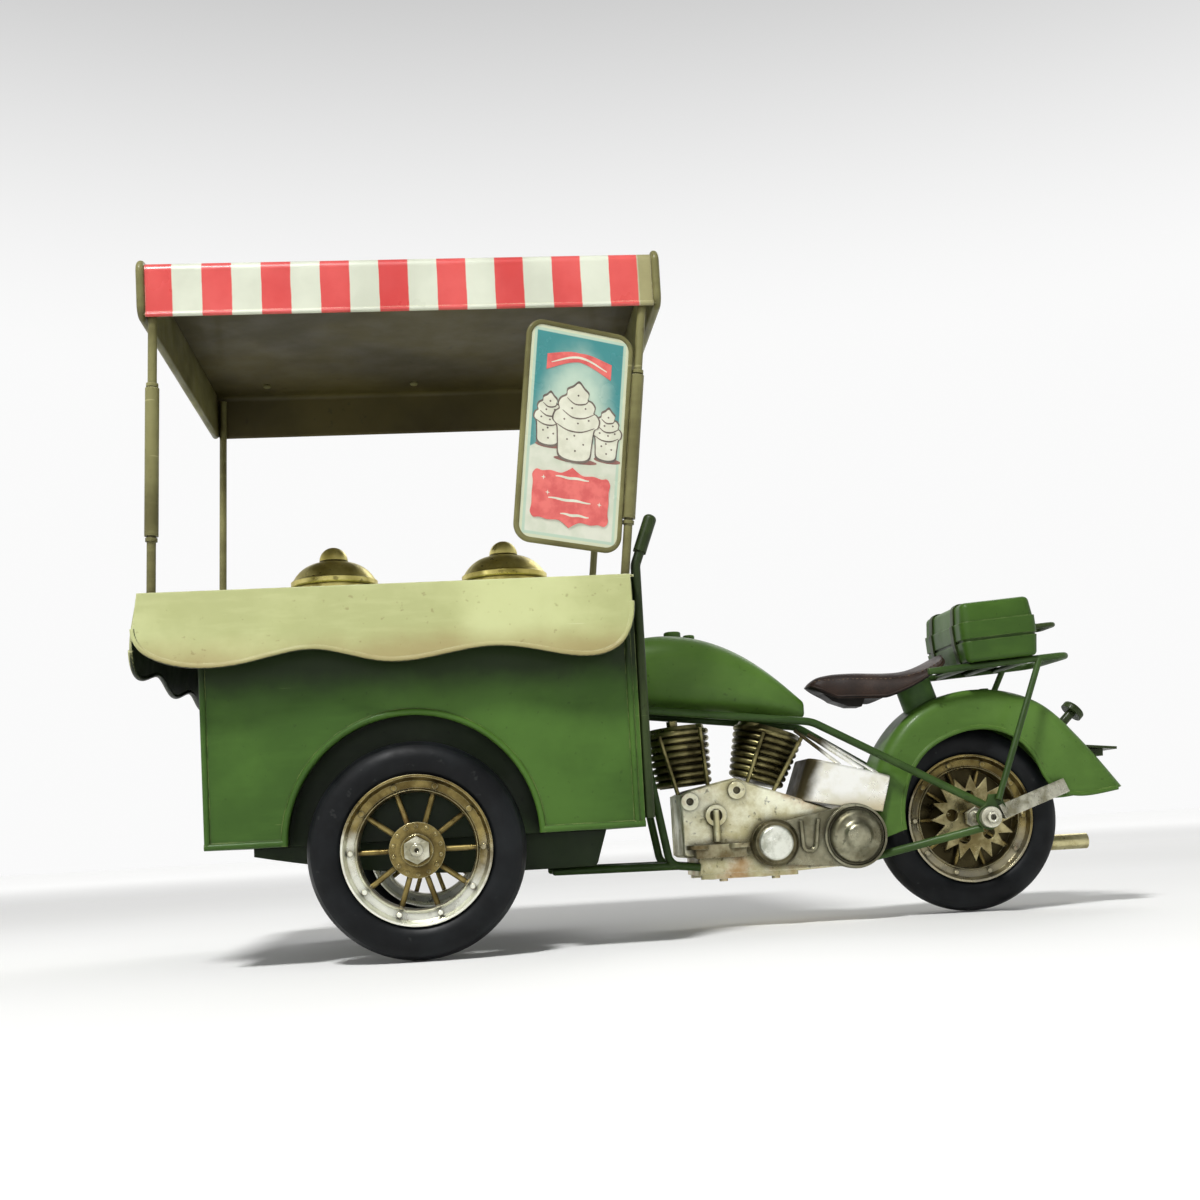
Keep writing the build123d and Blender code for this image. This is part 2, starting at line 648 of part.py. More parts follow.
# Down tube, the rail that runs forward under the cart, and the lower stay
with BuildPart() as lower_tube:
    add(round_bar(((-9.3, -14.0, 82.9), (0.4, -14.0, 24.6), (11.6, -14.0, 23.4)), TUBE_R, 5.0))
    with BuildSketch(Plane(origin=(4.0, -14.0, 24.3), z_dir=(-1, 0, 0.012))):
        Circle(TUBE_R)
    extrude(amount=48.0)
    fillet(lower_tube.edges().filter_by(GeomType.CIRCLE).group_by(Axis.X)[0], radius=1.2)
    add(round_bar(((70.0, -9.3, 21.3), (117.6, -25.6, 32.2)), TUBE_R))
    add(upper_tube.part, mode=Mode.SUBTRACT)
    add(crankcase.part, mode=Mode.SUBTRACT)


def cylinder_barrel(foot, head, r_foot, r_head, fins):
    """Engine cylinder: a tapered stack of rounded cooling fins with a flat head."""
    line = Vector(*head) - Vector(*foot)
    length = line.length
    pitch = length / (fins + 0.6)
    axis_plane = Plane(origin=foot, x_dir=line.cross(Vector(0, 1, 0)), z_dir=(0, 1, 0))
    with BuildPart() as barrel:
        with BuildSketch(axis_plane):
            with BuildLine():
                Line((0, 0), (r_foot - 1.6, 0))
                for k in range(fins):
                    low = k * pitch
                    r = r_foot + (r_head - r_foot) * k / (fins - 1)
                    core = r_foot - 1.6 + (r_head - r_foot) * k / (fins - 1)
                    core_next = core + (r_head - r_foot) / (fins - 1)
                    root = (core, low + 0.2 * pitch)
                    Line((core, low), root)
                    ThreePointArc(root, (r, low + 0.55 * pitch), (core_next, low + pitch))
                Polyline((core_next, fins * pitch), (core_next - 0.4, length), (0, length), (0, 0))
            make_face()
        revolve(axis=Axis(foot, tuple(line)))
    return barrel.part


FRONT_CYL = ((9.4, 0, 54.2), (7.6, 0, 77.2))
REAR_CYL = ((37.3, 0, 54.4), (44.0, 0, 74.6))
with BuildPart() as cylinder_front:
    add(cylinder_barrel(*FRONT_CYL, 11.0, 12.2, 8))
    with BuildSketch(Plane(origin=(5.4, -6.0, 76.6), z_dir=(-0.08, 0, 1))):
        RegularPolygon(2.1, 6)
    extrude(amount=2.6)
    add(crankcase.part, mode=Mode.SUBTRACT)
with BuildPart() as cylinder_rear:
    add(cylinder_barrel(*REAR_CYL, 10.8, 13.6, 8))
    add(crankcase.part, mode=Mode.SUBTRACT)
    split(bisect_by=Plane.XY.offset(40), keep=Keep.TOP)

# Push-rod tubes on the outside of both cylinders
PUSHRODS = (
    ((-0.9, 73.2), (5.0, 51.0)), ((14.8, 76.0), (16.6, 53.0)),
    ((39.2, 72.8), (31.2, 53.2)), ((53.6, 70.0), (41.2, 50.0)),
)
with BuildPart() as pushrods:
    for top, bottom in PUSHRODS:
        add(round_bar(((top[0], -13.2, top[1]), (bottom[0], -13.2, bottom[1])), 0.8))
    add(crankcase.part, mode=Mode.SUBTRACT)
    add(cylinder_front.part, mode=Mode.SUBTRACT)
    add(cylinder_rear.part, mode=Mode.SUBTRACT)

# Ring nuts, the boss and lever on the crankcase's left face
FACE = Plane.XZ.offset(CASE_Y)
with BuildPart() as engine_fittings:
    with BuildSketch(FACE):
        with Locations((8.9, 48.0), (26.9, 51.4)):
            Circle(3.3)
            Circle(1.4, mode=Mode.SUBTRACT)
        with Locations((18.5, 42.4)):
            Circle(4.0)
            Circle(2.4, mode=Mode.SUBTRACT)
    extrude(amount=1.8)
    add(round_bar(((18.5, -CASE_Y - 1.4, 44.4), (18.5, -CASE_Y - 1.4, 32.5)), 1.3))

# Footboard: a bar with an oval pad at each end, on a block
with BuildPart() as footboard:
    with BuildSketch(Plane.XY.offset(26.6)):
        with Locations((19.2, -CASE_Y - 2.5)):
            Rectangle(19.0, 5.0)
    extrude(amount=3.4)
    with BuildSketch(Plane.XY.offset(30.0)):
        with Locations((18.6, -CASE_Y - 3.0)):
            Rectangle(15.0, 4.0)
        with Locations((10.4, -CASE_Y - 4.0), (26.2, -CASE_Y - 4.0)):
            Ellipse(4.2, 3.6)
    extrude(amount=1.6)

with BuildPart() as generator:
    with BuildSketch(FACE):
        with Locations((39.8, 30.9)):
            Circle(8.8)
    extrude(amount=6.0)
    chamfer(generator.edges().group_by(Axis.Y)[0], length=1.2)
    with BuildSketch(Plane.XZ.offset(CASE_Y + 6.0)):
        with Locations((39.8, 30.9)):
            Circle(6.4)
    extrude(amount=1.4)
    fillet(generator.edges().group_by(Axis.Y)[0], radius=1.0)

# Teardrop drive case, its stepped round cover, and a U-shaped spring clip
DRIVE_X = 70.6
DRIVE_Z = 31.8
with BuildPart() as primary_case:
    with BuildSketch(FACE):
        with BuildLine():
            Polyline((44.0, 38.8), (66.0, 43.0), (66.0, 20.6), (44.0, 22.6), close=True)
        make_face()
        with Locations((DRIVE_X, DRIVE_Z)):
            Circle(12.2)
        with Locations((39.8, 30.9)):
            Circle(8.9, mode=Mode.SUBTRACT)
    extrude(amount=4.0)
    with BuildSketch(Plane(origin=(DRIVE_X, -CASE_Y - 4.0, DRIVE_Z), x_dir=(0, -1, 0), z_dir=(1, 0, 0))):
        with BuildLine():
            Polyline((-1.0, 11.9), (1.6, 11.9), (1.6, 11.1), (0.8, 10.7), (0.8, 10.2), (2.2, 9.8))
            ThreePointArc((2.2, 9.8), (3.6, 8.9), (4.2, 7.2))
            Line((4.2, 7.2), (4.4, 6.4))
            Spline((4.4, 6.4), (6.0, 4.4), (6.8, 0), tangents=((0.3, -1), (0, -1)))
            Polyline((6.8, 0), (-1.0, 0), (-1.0, 11.9))
        make_face()
    revolve(axis=Axis((DRIVE_X, 0, DRIVE_Z), (0, 1, 0)))
    clip = [(x, -CASE_Y - 4.6, z) for x, z in ((50.0, 38.6), (50.4, 27.4), (55.0, 27.4), (56.6, 39.0))]
    add(round_bar(clip, 0.9, 2.3))

# Oil tank tilted nose-up, forked round the rear mudguard, with its three pipes
with BuildPart() as oil_tank:
    with BuildSketch(Plane.XZ):
        with BuildLine():
            Polyline((56.0, 62.4), (86.6, 54.0), (82.6, 40.4), (50.2, 46.6), close=True)
        make_face()
    extrude(amount=15.6, both=True)
    fillet(oil_tank.faces().sort_by(Axis.X)[0].edges().filter_by(Axis.Y, reverse=True), radius=6.0)
    fillet(oil_tank.faces().sort_by(Axis.Z)[-1].edges(), radius=1.0)
    with BuildSketch(Plane.XY.offset(30)):
        with Locations((90.0, 0)):
            Rectangle(28.0, 2 * FENDER_Y + 0.6)
    extrude(amount=40, mode=Mode.SUBTRACT)
    add(crankcase.part, mode=Mode.SUBTRACT)
    add(primary_case.part, mode=Mode.SUBTRACT)
    for start, end, radius in (
        ((51.6, 73.2), (67.6, 59.0), 0.7),
        ((56.6, 71.4), (76.4, 56.6), 0.9),
        ((61.2, 69.6), (82.0, 55.0), 0.6),
    ):
        add(round_bar(((start[0], -11.0, start[1]), (end[0], -14.2, end[1])), radius))
    add(cylinder_rear.part, mode=Mode.SUBTRACT)

with BuildPart() as exhaust_pipe:
    run = ((30.0, CASE_Y - 1.0, 31.0), (34.0, 27.0, 25.0), (60.0, 28.4, 23.6), (178.6, 28.4, 24.0))
    add(round_bar(run, 2.4, 3.5))
    with BuildSketch(Plane.YZ.offset(150.0)):
        with Locations((28.4, 23.9)):
            Circle(3.2)
    extrude(amount=30.0)
    with BuildSketch(Plane.YZ.offset(180.0)):
        with Locations((28.4, 23.9)):
            Circle(2.5)
    extrude(amount=-10.0, mode=Mode.SUBTRACT)
    add(crankcase.part, mode=Mode.SUBTRACT)

# ------------------------------------------------------------ saddle and rear
with BuildPart() as saddle:
    with BuildSketch(Plane.XZ):
        with BuildLine():
            Spline(
                (59.2, 89.9), (61.7, 93.0), (69.8, 95.2), (81.9, 95.4), (91.8, 94.7),
                (102.0, 96.2), (112.5, 100.8),
            )
            Line((112.5, 100.8), (113.4, 97.0))
            Spline((113.4, 97.0), (97.3, 89.4), (83.0, 86.6), (72.9, 86.4), (59.2, 89.9))
        make_face()
    extrude(amount=22, both=True)
    with BuildSketch(Plane.XY.offset(80)):
        with BuildLine() as plan:
            Spline(
                (59.2, 0), (60.6, -4.6), (68.0, -7.4), (82.0, -12.0), (95.0, -16.8),
                (106.0, -17.8), (113.0, -13.0), (114.0, 0),
            )
            mirror(plan.line, about=Plane.XZ)
        make_face()
    extrude(amount=30, mode=Mode.INTERSECT)

FENDER_TOP = (
    (81.8, 29.6), (80.0, 42.0), (83.2, 57.4), (91.2, 71.0), (101.0, 79.6), (113.4, 84.4),
    (125.5, 85.7), (137.5, 84.2), (151.0, 78.4), (162.0, 68.0), (172.0, 56.0), (180.2, 45.2),
)
FENDER_SKIRT = (
    (177.0, 44.6), (165.4, 43.0), (157.6, 43.6), (150.8, 47.4), (145.4, 57.6), (137.4, 66.8),
    (125.8, 70.6), (112.0, 68.4), (101.4, 62.4), (95.0, 53.6), (91.6, 33.0),
)


# Mudguard: crowned top, flat sides, hollow and open below, with rolled hems
with BuildPart() as rear_fender:
    with BuildSketch(Plane.XZ):
        with BuildLine():
            Spline(*FENDER_TOP)
            Line(FENDER_TOP[-1], FENDER_SKIRT[0])
            Spline(*FENDER_SKIRT)
            Line(FENDER_SKIRT[-1], FENDER_TOP[0])
        make_face()
    extrude(amount=FENDER_Y, both=True)
    for side in (-FENDER_Y, FENDER_Y):
        rim = rear_fender.edges().filter_by_position(Axis.Y, side, side).sort_by(Edge.length)[-1]
        fillet(rim, radius=5.0)
    fender_block = rear_fender.part
    inner_faces = rear_fender.faces().filter_by(
        lambda face: abs(face.normal_at().Y) < 0.5 and face.normal_at().Z < 0
    )
    offset(amount=-TIN, openings=inner_faces)
    for side in (-1, 1):
        with BuildLine(Plane.XZ.offset(side * (FENDER_Y - 0.3))) as hem:
            Spline(*FENDER_SKIRT)
        with BuildSketch(Plane(origin=hem.line @ 0, z_dir=hem.line % 0)):
            Circle(0.85)
        sweep(path=hem.line)
    with Locations((131.2, 0, 85.0)):
        Cylinder(1.8, 3.0)

# Short tilted can that carries the back of the saddle, and the bracket under its nose
with BuildPart() as saddle_mount:
    with BuildSketch(Plane(origin=(107.0, 0, 75.0), z_dir=(-0.31, 0, 1))):
        Circle(7.0)
        Circle(6.2, mode=Mode.SUBTRACT)
    extrude(amount=22.0)
    split(bisect_by=Plane(origin=(102.0, 0, 93.0), z_dir=(-0.35, 0, 1)), keep=Keep.BOTTOM)
    with BuildSketch(Plane.XZ):
        with BuildLine():
            Polyline((62.0, 90.0), (69.0, 84.2), (75.4, 81.8), (80.4, 81.6), (83.6, 88.4), close=True)
        make_face()
    extrude(amount=4.5, both=True)
    add(saddle.part, mode=Mode.SUBTRACT)
    add(fender_block, mode=Mode.SUBTRACT)

# Flat bars from the axle plates to the mudguard's tail
with BuildPart() as stay_bar:
    bar_start = Vector(REAR_X + 4.8, -28.9, 37.6)
    bar_end = Vector(155.6, -14.4, 46.6)
    with BuildSketch(Plane(origin=bar_start, z_dir=bar_end - bar_start, x_dir=(-0.45, -1, 0))):
        Rectangle(1.0, 5.6)
    extrude(amount=(bar_end - bar_start).length)
    add(upper_tube.part, mode=Mode.SUBTRACT)

# Luggage rack: a U-shaped rail with cross bars on two long legs
rack_plane = Plane(
    origin=(131.0, 0, 94.5),
    x_dir=(cos(radians(RACK_TILT)), 0, sin(radians(RACK_TILT))),
    z_dir=(-sin(radians(RACK_TILT)), 0, cos(radians(RACK_TILT))),
)
with BuildPart() as luggage_rack:
    with BuildLine(rack_plane) as rail:
        FilletPolyline((-28.0, -19.6), (28.2, -19.6), (28.2, 19.6), (-28.0, 19.6), radius=6.0)
    with BuildSketch(Plane(origin=rail.line @ 0, z_dir=rail.line % 0)):
        Circle(1.3)
    sweep(path=rail.line)
    for along in (-12.0, 0.0, 12.0):
        start = rack_plane.from_local_coords((along, -19.6, -0.2))
        with BuildSketch(Plane(origin=start, z_dir=(0, 1, 0))):
            Circle(1.0)
        extrude(amount=39.2)
    for side in (-1, 1):
        add(round_bar(((147.0, side * 19.8, 95.6), (123.0, side * 29.4, 42.2)), 1.2))
    add(both_sides(upper_tube.part), mode=Mode.SUBTRACT)
    add(fender_block, mode=Mode.SUBTRACT)

# Suitcase strapped to the rack: flared base, upright band over the seam, narrower lid
case_plane = rack_plane.offset(1.3)
case_rise = Axis(case_plane.origin, case_plane.z_dir)
CASE_L = 30.0
CASE_W = 48.0
CASE_H = 23.0
CASE_AT = 0.9         # how far the case's middle stands behind the rack's
SEAM_H = 8.4
BAND_H = 7.0
STRAP_T = 0.6
GRIP_H = 12.2


def case_body(grow):
    """The closed suitcase without its seam, its sides and lid moved out by grow."""
    seam_down = Plane(
        origin=case_plane.from_local_coords((0, 0, SEAM_H)), x_dir=case_plane.x_dir, z_dir=-case_plane.z_dir
    )
    lengthwise = CASE_L + 2 * grow
    across = CASE_W + 2 * grow
    with BuildPart() as body:
        for plane, inset, height, taper in (
            (seam_down, 0.0, SEAM_H, 8),
            (case_plane.offset(SEAM_H), 0.0, BAND_H, 0),
            (case_plane.offset(SEAM_H + BAND_H), 0.5, CASE_H - SEAM_H - BAND_H + grow, 7),
        ):
            with BuildSketch(plane):
                with Locations((CASE_AT, 0)):
                    RectangleRounded(lengthwise - 2 * inset, across - 2 * inset, 3.6)
            extrude(amount=height, taper=taper)
        fillet(body.faces().sort_by(case_rise)[-1].edges(), radius=2.2 + grow)
        fillet(body.faces().sort_by(case_rise)[0].edges(), radius=1.8)
    return body.part


with BuildPart() as suitcase:
    add(case_body(0))
    with BuildSketch(case_plane.offset(SEAM_H - 0.5)):
        with Locations((CASE_AT, 0)):
            Rectangle(CASE_L + 2, CASE_W + 2)
            RectangleRounded(CASE_L - 1.2, CASE_W - 1.2, 3.0, mode=Mode.SUBTRACT)
    extrude(amount=1.0, mode=Mode.SUBTRACT)

# Two straps over the case and the wire carrying handle on its back
with BuildPart() as suitcase_trim:
    add(case_body(STRAP_T))
    with BuildSketch(case_plane.offset(0.4)):
        with Locations((CASE_AT, -13.0), (CASE_AT, 13.0)):
            Rectangle(CASE_L + 4, 3.2)
    extrude(amount=CASE_H + 2, mode=Mode.INTERSECT)
    handle = [
        case_plane.from_local_coords((along, y, GRIP_H))
        for along, y in ((15.3, -8.0), (29.1, -8.0), (29.1, 8.0), (15.3, 8.0))
    ]
    add(round_bar(handle, 1.0, 3.0))
    add(suitcase.part, mode=Mode.SUBTRACT)

# Mushroom lamp on the mudguard and the number-plate light below it
with BuildPart() as tail_lamps:
    lamp_axis = Vector(6.4, 0, 6.3).normalized()
    lamp_foot = Vector(160.6, 0, 70.0)
    with BuildSketch(Plane(origin=lamp_foot - lamp_axis * 2, z_dir=lamp_axis)):
        Circle(1.8)
    extrude(amount=9.6)
    with BuildSketch(Plane(origin=lamp_foot + lamp_axis * 7.4, z_dir=lamp_axis)):
        Circle(4.5)
    extrude(amount=2.8)
    fillet(tail_lamps.edges().filter_by(GeomType.CIRCLE).group_by(Axis.Z)[-1], radius=1.0)
    with BuildSketch(Plane(origin=(171.4, 0, 57.6), x_dir=(0, 1, 0), z_dir=(0.05, 0, 1))):
        Rectangle(13.0, 7.0)
    extrude(amount=2.8)
    with BuildSketch(Plane(origin=(173.6, 0, 60.4), x_dir=(0, 1, 0), z_dir=(0.1, 0, 1))):
        Rectangle(16.0, 13.0)
    extrude(amount=1.0)
    add(fender_block, mode=Mode.SUBTRACT)

pieces = {
    "cart_side_left": cart_side.part,
    "cart_side_right": mirrored(cart_side.part),
    "cart_front_panel": cart_front_panel.part,
    "cart_rear_panel": cart_rear_panel.part,
    "cart_floor": cart_floor.part,
    "wheel_well_left": wheel_well.part,
    "wheel_well_right": mirrored(wheel_well.part),
    "belly_pan": belly_pan.part,
    "counter_top": counter_top.part,
    "valance_left": valance_side.part,
    "valance_right": mirrored(valance_side.part),
    "valance_front": valance_front.part,
    "tub_front": at_tub(tub.part, TUB_X[0]),
    "tub_rear": at_tub(tub.part, TUB_X[1]),
    "lid_front": at_tub(lid.part, TUB_X[0]),
    "lid_rear": at_tub(lid.part, TUB_X[1]),
    "post_front_left": post(FRONT_FOOT, FRONT_HEAD, COLLARS),
    "post_front_right": mirrored(post(FRONT_FOOT, FRONT_HEAD)),
    "post_rear_left": post(REAR_FOOT, REAR_HEAD, COLLARS),
    "post_rear_right": mirrored(post(REAR_FOOT, REAR_HEAD)),
    "roof_sheet": roof_sheet.part,
    "roof_ends": roof_ends.part,
    "roof_screws": roof_screws.part,
    "sign_rear_frame": sign_rear_frame,
    "sign_rear_panel": sign_rear_panel,
    "sign_front_frame": sign_front_frame,
    "sign_front_panel": sign_front_panel,
    "front_axle": front_axle.part,
    "front_tyre_left": front_tyre_left,
    "front_wheel_left": front_wheel_left,
    "front_tyre_right": mirrored(front_tyre_left),
    "front_wheel_right": mirrored(front_wheel_left),
    "handlebar_left": handlebar.part,
    "handlebar_right": mirrored(handlebar.part),
    "upper_frame_tubes": both_sides(upper_tube.part),
    "lower_frame_tubes": both_sides(lower_tube.part),
    "fuel_tank": fuel_tank.part,
    "filler_caps": filler_caps.part,
    "crankcase": crankcase.part,
    "cylinder_front": cylinder_front.part,
    "cylinder_rear": cylinder_rear.part,
    "pushrods": pushrods.part,
    "engine_fittings": engine_fittings.part,
    "footboard": footboard.part,
    "generator": generator.part,
    "primary_case": primary_case.part,
    "oil_tank": oil_tank.part,
    "exhaust_pipe": exhaust_pipe.part,
    "saddle": saddle.part,
    "saddle_mount": saddle_mount.part,
    "rear_fender": rear_fender.part,
    "fender_stays": both_sides(stay_bar.part),
    "luggage_rack": luggage_rack.part,
    "suitcase": suitcase.part,
    "suitcase_trim": suitcase_trim.part,
    "rear_tyre": rear_tyre,
    "rear_wheel": rear_wheel,
    "rear_sprocket": rear_sprocket.part,
    "rear_axle": rear_axle.part,
    "tail_lamps": tail_lamps.part,
}
for name, piece in pieces.items():
    piece.label = name
    export_step(piece, f"parts/{name}.step")
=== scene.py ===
"""Looks of the three-wheeled vending motorcycle: materials, printed signs, leather saddle, studio."""
import json
from math import atan2, cos, pi, sin

import bmesh
import bpy
from mathutils import Matrix, Vector


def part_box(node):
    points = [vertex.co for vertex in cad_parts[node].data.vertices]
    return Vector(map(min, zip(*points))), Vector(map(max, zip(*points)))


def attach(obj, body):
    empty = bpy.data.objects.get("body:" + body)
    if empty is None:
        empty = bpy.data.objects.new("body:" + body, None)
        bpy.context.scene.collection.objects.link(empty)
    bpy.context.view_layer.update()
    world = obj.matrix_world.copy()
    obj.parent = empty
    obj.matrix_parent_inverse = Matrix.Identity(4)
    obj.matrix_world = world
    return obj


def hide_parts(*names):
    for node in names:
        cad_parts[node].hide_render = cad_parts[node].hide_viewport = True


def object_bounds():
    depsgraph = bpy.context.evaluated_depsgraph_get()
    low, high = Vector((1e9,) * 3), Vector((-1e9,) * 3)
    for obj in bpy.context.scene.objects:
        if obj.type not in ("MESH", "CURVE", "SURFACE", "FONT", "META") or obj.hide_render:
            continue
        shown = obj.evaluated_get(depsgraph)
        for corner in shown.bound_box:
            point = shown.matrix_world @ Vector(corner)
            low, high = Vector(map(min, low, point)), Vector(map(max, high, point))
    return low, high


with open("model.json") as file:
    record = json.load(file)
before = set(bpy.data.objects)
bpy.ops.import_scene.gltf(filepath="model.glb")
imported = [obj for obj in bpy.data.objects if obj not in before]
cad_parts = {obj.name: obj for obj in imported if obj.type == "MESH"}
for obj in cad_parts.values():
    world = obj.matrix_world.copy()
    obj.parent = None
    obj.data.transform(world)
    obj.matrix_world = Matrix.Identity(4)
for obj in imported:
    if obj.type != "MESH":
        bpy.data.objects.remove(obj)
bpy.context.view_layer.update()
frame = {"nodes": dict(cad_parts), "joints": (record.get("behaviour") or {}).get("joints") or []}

MM = 0.001
NODES = frame["nodes"]


# ---------------------------------------------------------------- node graphs
def paint_rgb(red, green, blue):
    """A colour given as 0-255 display values, in the linear values that shaders use."""
    linear = []
    for channel in (red, green, blue):
        c = channel / 255
        linear.append(c / 12.92 if c <= 0.04045 else ((c + 0.055) / 1.055) ** 2.4)
    return (*linear, 1.0)


class Finish:
    """One material: a Principled shader and the few node recipes that feed it."""

    def __init__(self, name, metallic=0.0, roughness=0.5, coat=0.0, specular=0.5):
        self.material = bpy.data.materials.new(name)
        self.material.use_nodes = True
        self.tree = self.material.node_tree
        self.shader = self.tree.nodes["Principled BSDF"]
        self.shader.inputs["Metallic"].default_value = metallic
        self.shader.inputs["Roughness"].default_value = roughness
        self.shader.inputs["Coat Weight"].default_value = coat
        self.shader.inputs["Coat Roughness"].default_value = 0.12
        self.shader.inputs["Specular IOR Level"].default_value = specular
        self.place = self.node("ShaderNodeTexCoord").outputs["Object"]

    def node(self, kind, values=None, **settings):
        made = self.tree.nodes.new(kind)
        for key, value in settings.items():
            setattr(made, key, value)
        for key, value in (values or {}).items():
            self.feed(made.inputs[key], value)
        return made

    def feed(self, socket, value):
        if isinstance(value, bpy.types.NodeSocket):
            self.tree.links.new(value, socket)
        else:
            socket.default_value = value

    def math(self, operation, first, second=0.0):
        return self.node("ShaderNodeMath", {0: first, 1: second}, operation=operation).outputs[0]

    def vector(self, operation, first, second):
        made = self.node("ShaderNodeVectorMath", {0: first, 1: second}, operation=operation)
        return made.outputs["Value" if operation in ("DOT_PRODUCT", "LENGTH") else "Vector"]

    def noise(self, scale, detail, roughness=0.55, place=None):
        return self.node(
            "ShaderNodeTexNoise",
            {"Vector": place or self.place, "Scale": scale, "Detail": detail, "Roughness": roughness},
        ).outputs["Fac"]

    def stretched(self, x, y, z):
        """The object's coordinates scaled by axis, for streaks."""
        return self.vector("MULTIPLY", self.place, (x, y, z))

    def fade(self, value, low, high, start=0.0, end=1.0):
        """start below low, end above high, and a smooth step between."""
        return self.node(
            "ShaderNodeMapRange",
            {"Value": value, "From Min": low, "From Max": high, "To Min": start, "To Max": end},
            interpolation_type="SMOOTHSTEP",
        ).outputs["Result"]

    def mix(self, share, first, second):
        made = self.node("ShaderNodeMix", data_type="RGBA")
        self.feed(made.inputs["Factor"], share)
        colours = [socket for socket in made.inputs if socket.type == "RGBA"]
        self.feed(colours[0], first)
        self.feed(colours[1], second)
        return next(socket for socket in made.outputs if socket.type == "RGBA")

    def axis(self, name, source=None):
        return self.node("ShaderNodeSeparateXYZ", {0: source or self.place}).outputs[name]

    def facing(self):
        """The direction that the face looks in, without bumps."""
        return self.node("ShaderNodeNewGeometry").outputs["True Normal"]

    def sideways(self, facing):
        """How far the face looks away from the object's middle plane, to its left or its right."""
        return self.math("MULTIPLY", self.math("SIGN", self.axis("Y")), self.axis("Y", facing))

    def gloss(self, scale, detail, smooth, rough):
        """Roughness drifting between two values."""
        self.set("Roughness", self.fade(self.noise(scale, detail), 0.3, 0.7, smooth, rough))

    def recess(self, distance, low=0.35, high=0.9):
        """1 in corners, folds and where pieces meet, 0 on open faces: an ambient-occlusion mask that the
        finishes use for painted shade.
        """
        shade = self.node("ShaderNodeAmbientOcclusion", {"Distance": distance}, samples=6)
        return self.fade(shade.outputs["AO"], low, high, 1.0, 0.0)

    def edge(self, radius):
        """1 along the piece's worn outer edges, 0 on flat faces."""
        rounded = self.node("ShaderNodeBevel", {"Radius": radius}, samples=4)
        flat = self.node("ShaderNodeNewGeometry").outputs["Normal"]
        turn = self.vector("DOT_PRODUCT", rounded.outputs["Normal"], flat)
        return self.fade(turn, 0.80, 0.985, 1.0, 0.0), rounded.outputs["Normal"]

    def relief(self, height, strength, depth, normal=None):
        values = {"Height": height, "Strength": strength, "Distance": depth}
        if normal is not None:
            values["Normal"] = normal
        self.feed(self.shader.inputs["Normal"], self.node("ShaderNodeBump", values).outputs["Normal"])

    def set(self, socket, value):
        self.feed(self.shader.inputs[socket], value)


SHADE_REACH = 4 * MM    # how far the painted shade reaches from a fold of painted tin


def worn_paint(name, light, dark, bare, dirt_and_shade, edge_radius=0.7 * MM, roughness=0.42, edge_wear=0.75,
               tint=None, shaded_inside=None):
    """Brushed-on enamel over tin: cloudy colour, dirt specks, painted shade in folds and where pieces meet,
    paint worn thin on edges.

    The colour band by height is (low, high, colour, share below, share above); it gives real staining on the
    cream and a painted shadow on the cart's sides. The inside colour is painted shade on inner, downward and
    rearward faces.
    """
    look = Finish(name, roughness=roughness, coat=0.05, specular=0.2)
    cloud = look.fade(look.noise(22, 5), 0.36, 0.66)
    tone = look.mix(cloud, dark, light)
    brushed = look.noise(60, 3, place=look.stretched(1.0, 1.0, 5.0))
    tone = look.mix(look.fade(brushed, 0.45, 0.7, 0.0, 0.25), tone, light)
    # colour band by height: real staining on the cream, painted shadow under the valance on the cart's sides
    if tint is not None:
        low, high, colour, below, above = tint
        reach = look.math("ADD", look.axis("Z"), look.math("MULTIPLY", look.noise(45, 4), 0.012))
        tone = look.mix(look.fade(reach, low, high, below, above), tone, colour)
    speck = look.fade(look.noise(420, 2), 0.66, 0.74, 0.0, 0.35)
    tone = look.mix(speck, tone, dirt_and_shade)
    shade_patches = look.fade(look.noise(90, 4), 0.3, 0.6, 0.45, 0.95)
    # painted shade: the dark dirt-and-shade colour laid by ambient occlusion in folds and where pieces meet,
    # broken up by noise
    tone = look.mix(look.math("MULTIPLY", look.recess(SHADE_REACH), shade_patches), tone, dirt_and_shade)
    edge, rounded = look.edge(edge_radius)
    chipped = look.math("MULTIPLY", edge, look.fade(look.noise(160, 5), 0.40, 0.60, 0.15, edge_wear))
    tone = look.mix(chipped, tone, bare)
    scratch = look.fade(look.noise(70, 2, place=look.stretched(0.6, 1.0, 9.0)), 0.75, 0.78, 0.0, 0.3)
    tone = look.mix(scratch, tone, bare)
    # painted shade: faces that look inward, downward or rearward take the dark inside colour
    if shaded_inside is not None:
        facing = look.facing()
        inward = look.math("MULTIPLY", look.sideways(facing), -1.0)
        downward = look.math("MULTIPLY", look.axis("Z", facing), -1.0)
        inside = look.math("MAXIMUM", inward, look.math("MAXIMUM", look.axis("X", facing), downward))
        tone = look.mix(look.fade(inside, 0.55, 0.8), tone, shaded_inside)
    look.set("Base Color", tone)
    look.gloss(55, 4, roughness - 0.08, roughness + 0.14)
    look.relief(look.noise(140, 4), 0.18, 0.4 * MM, rounded)
    return look.material


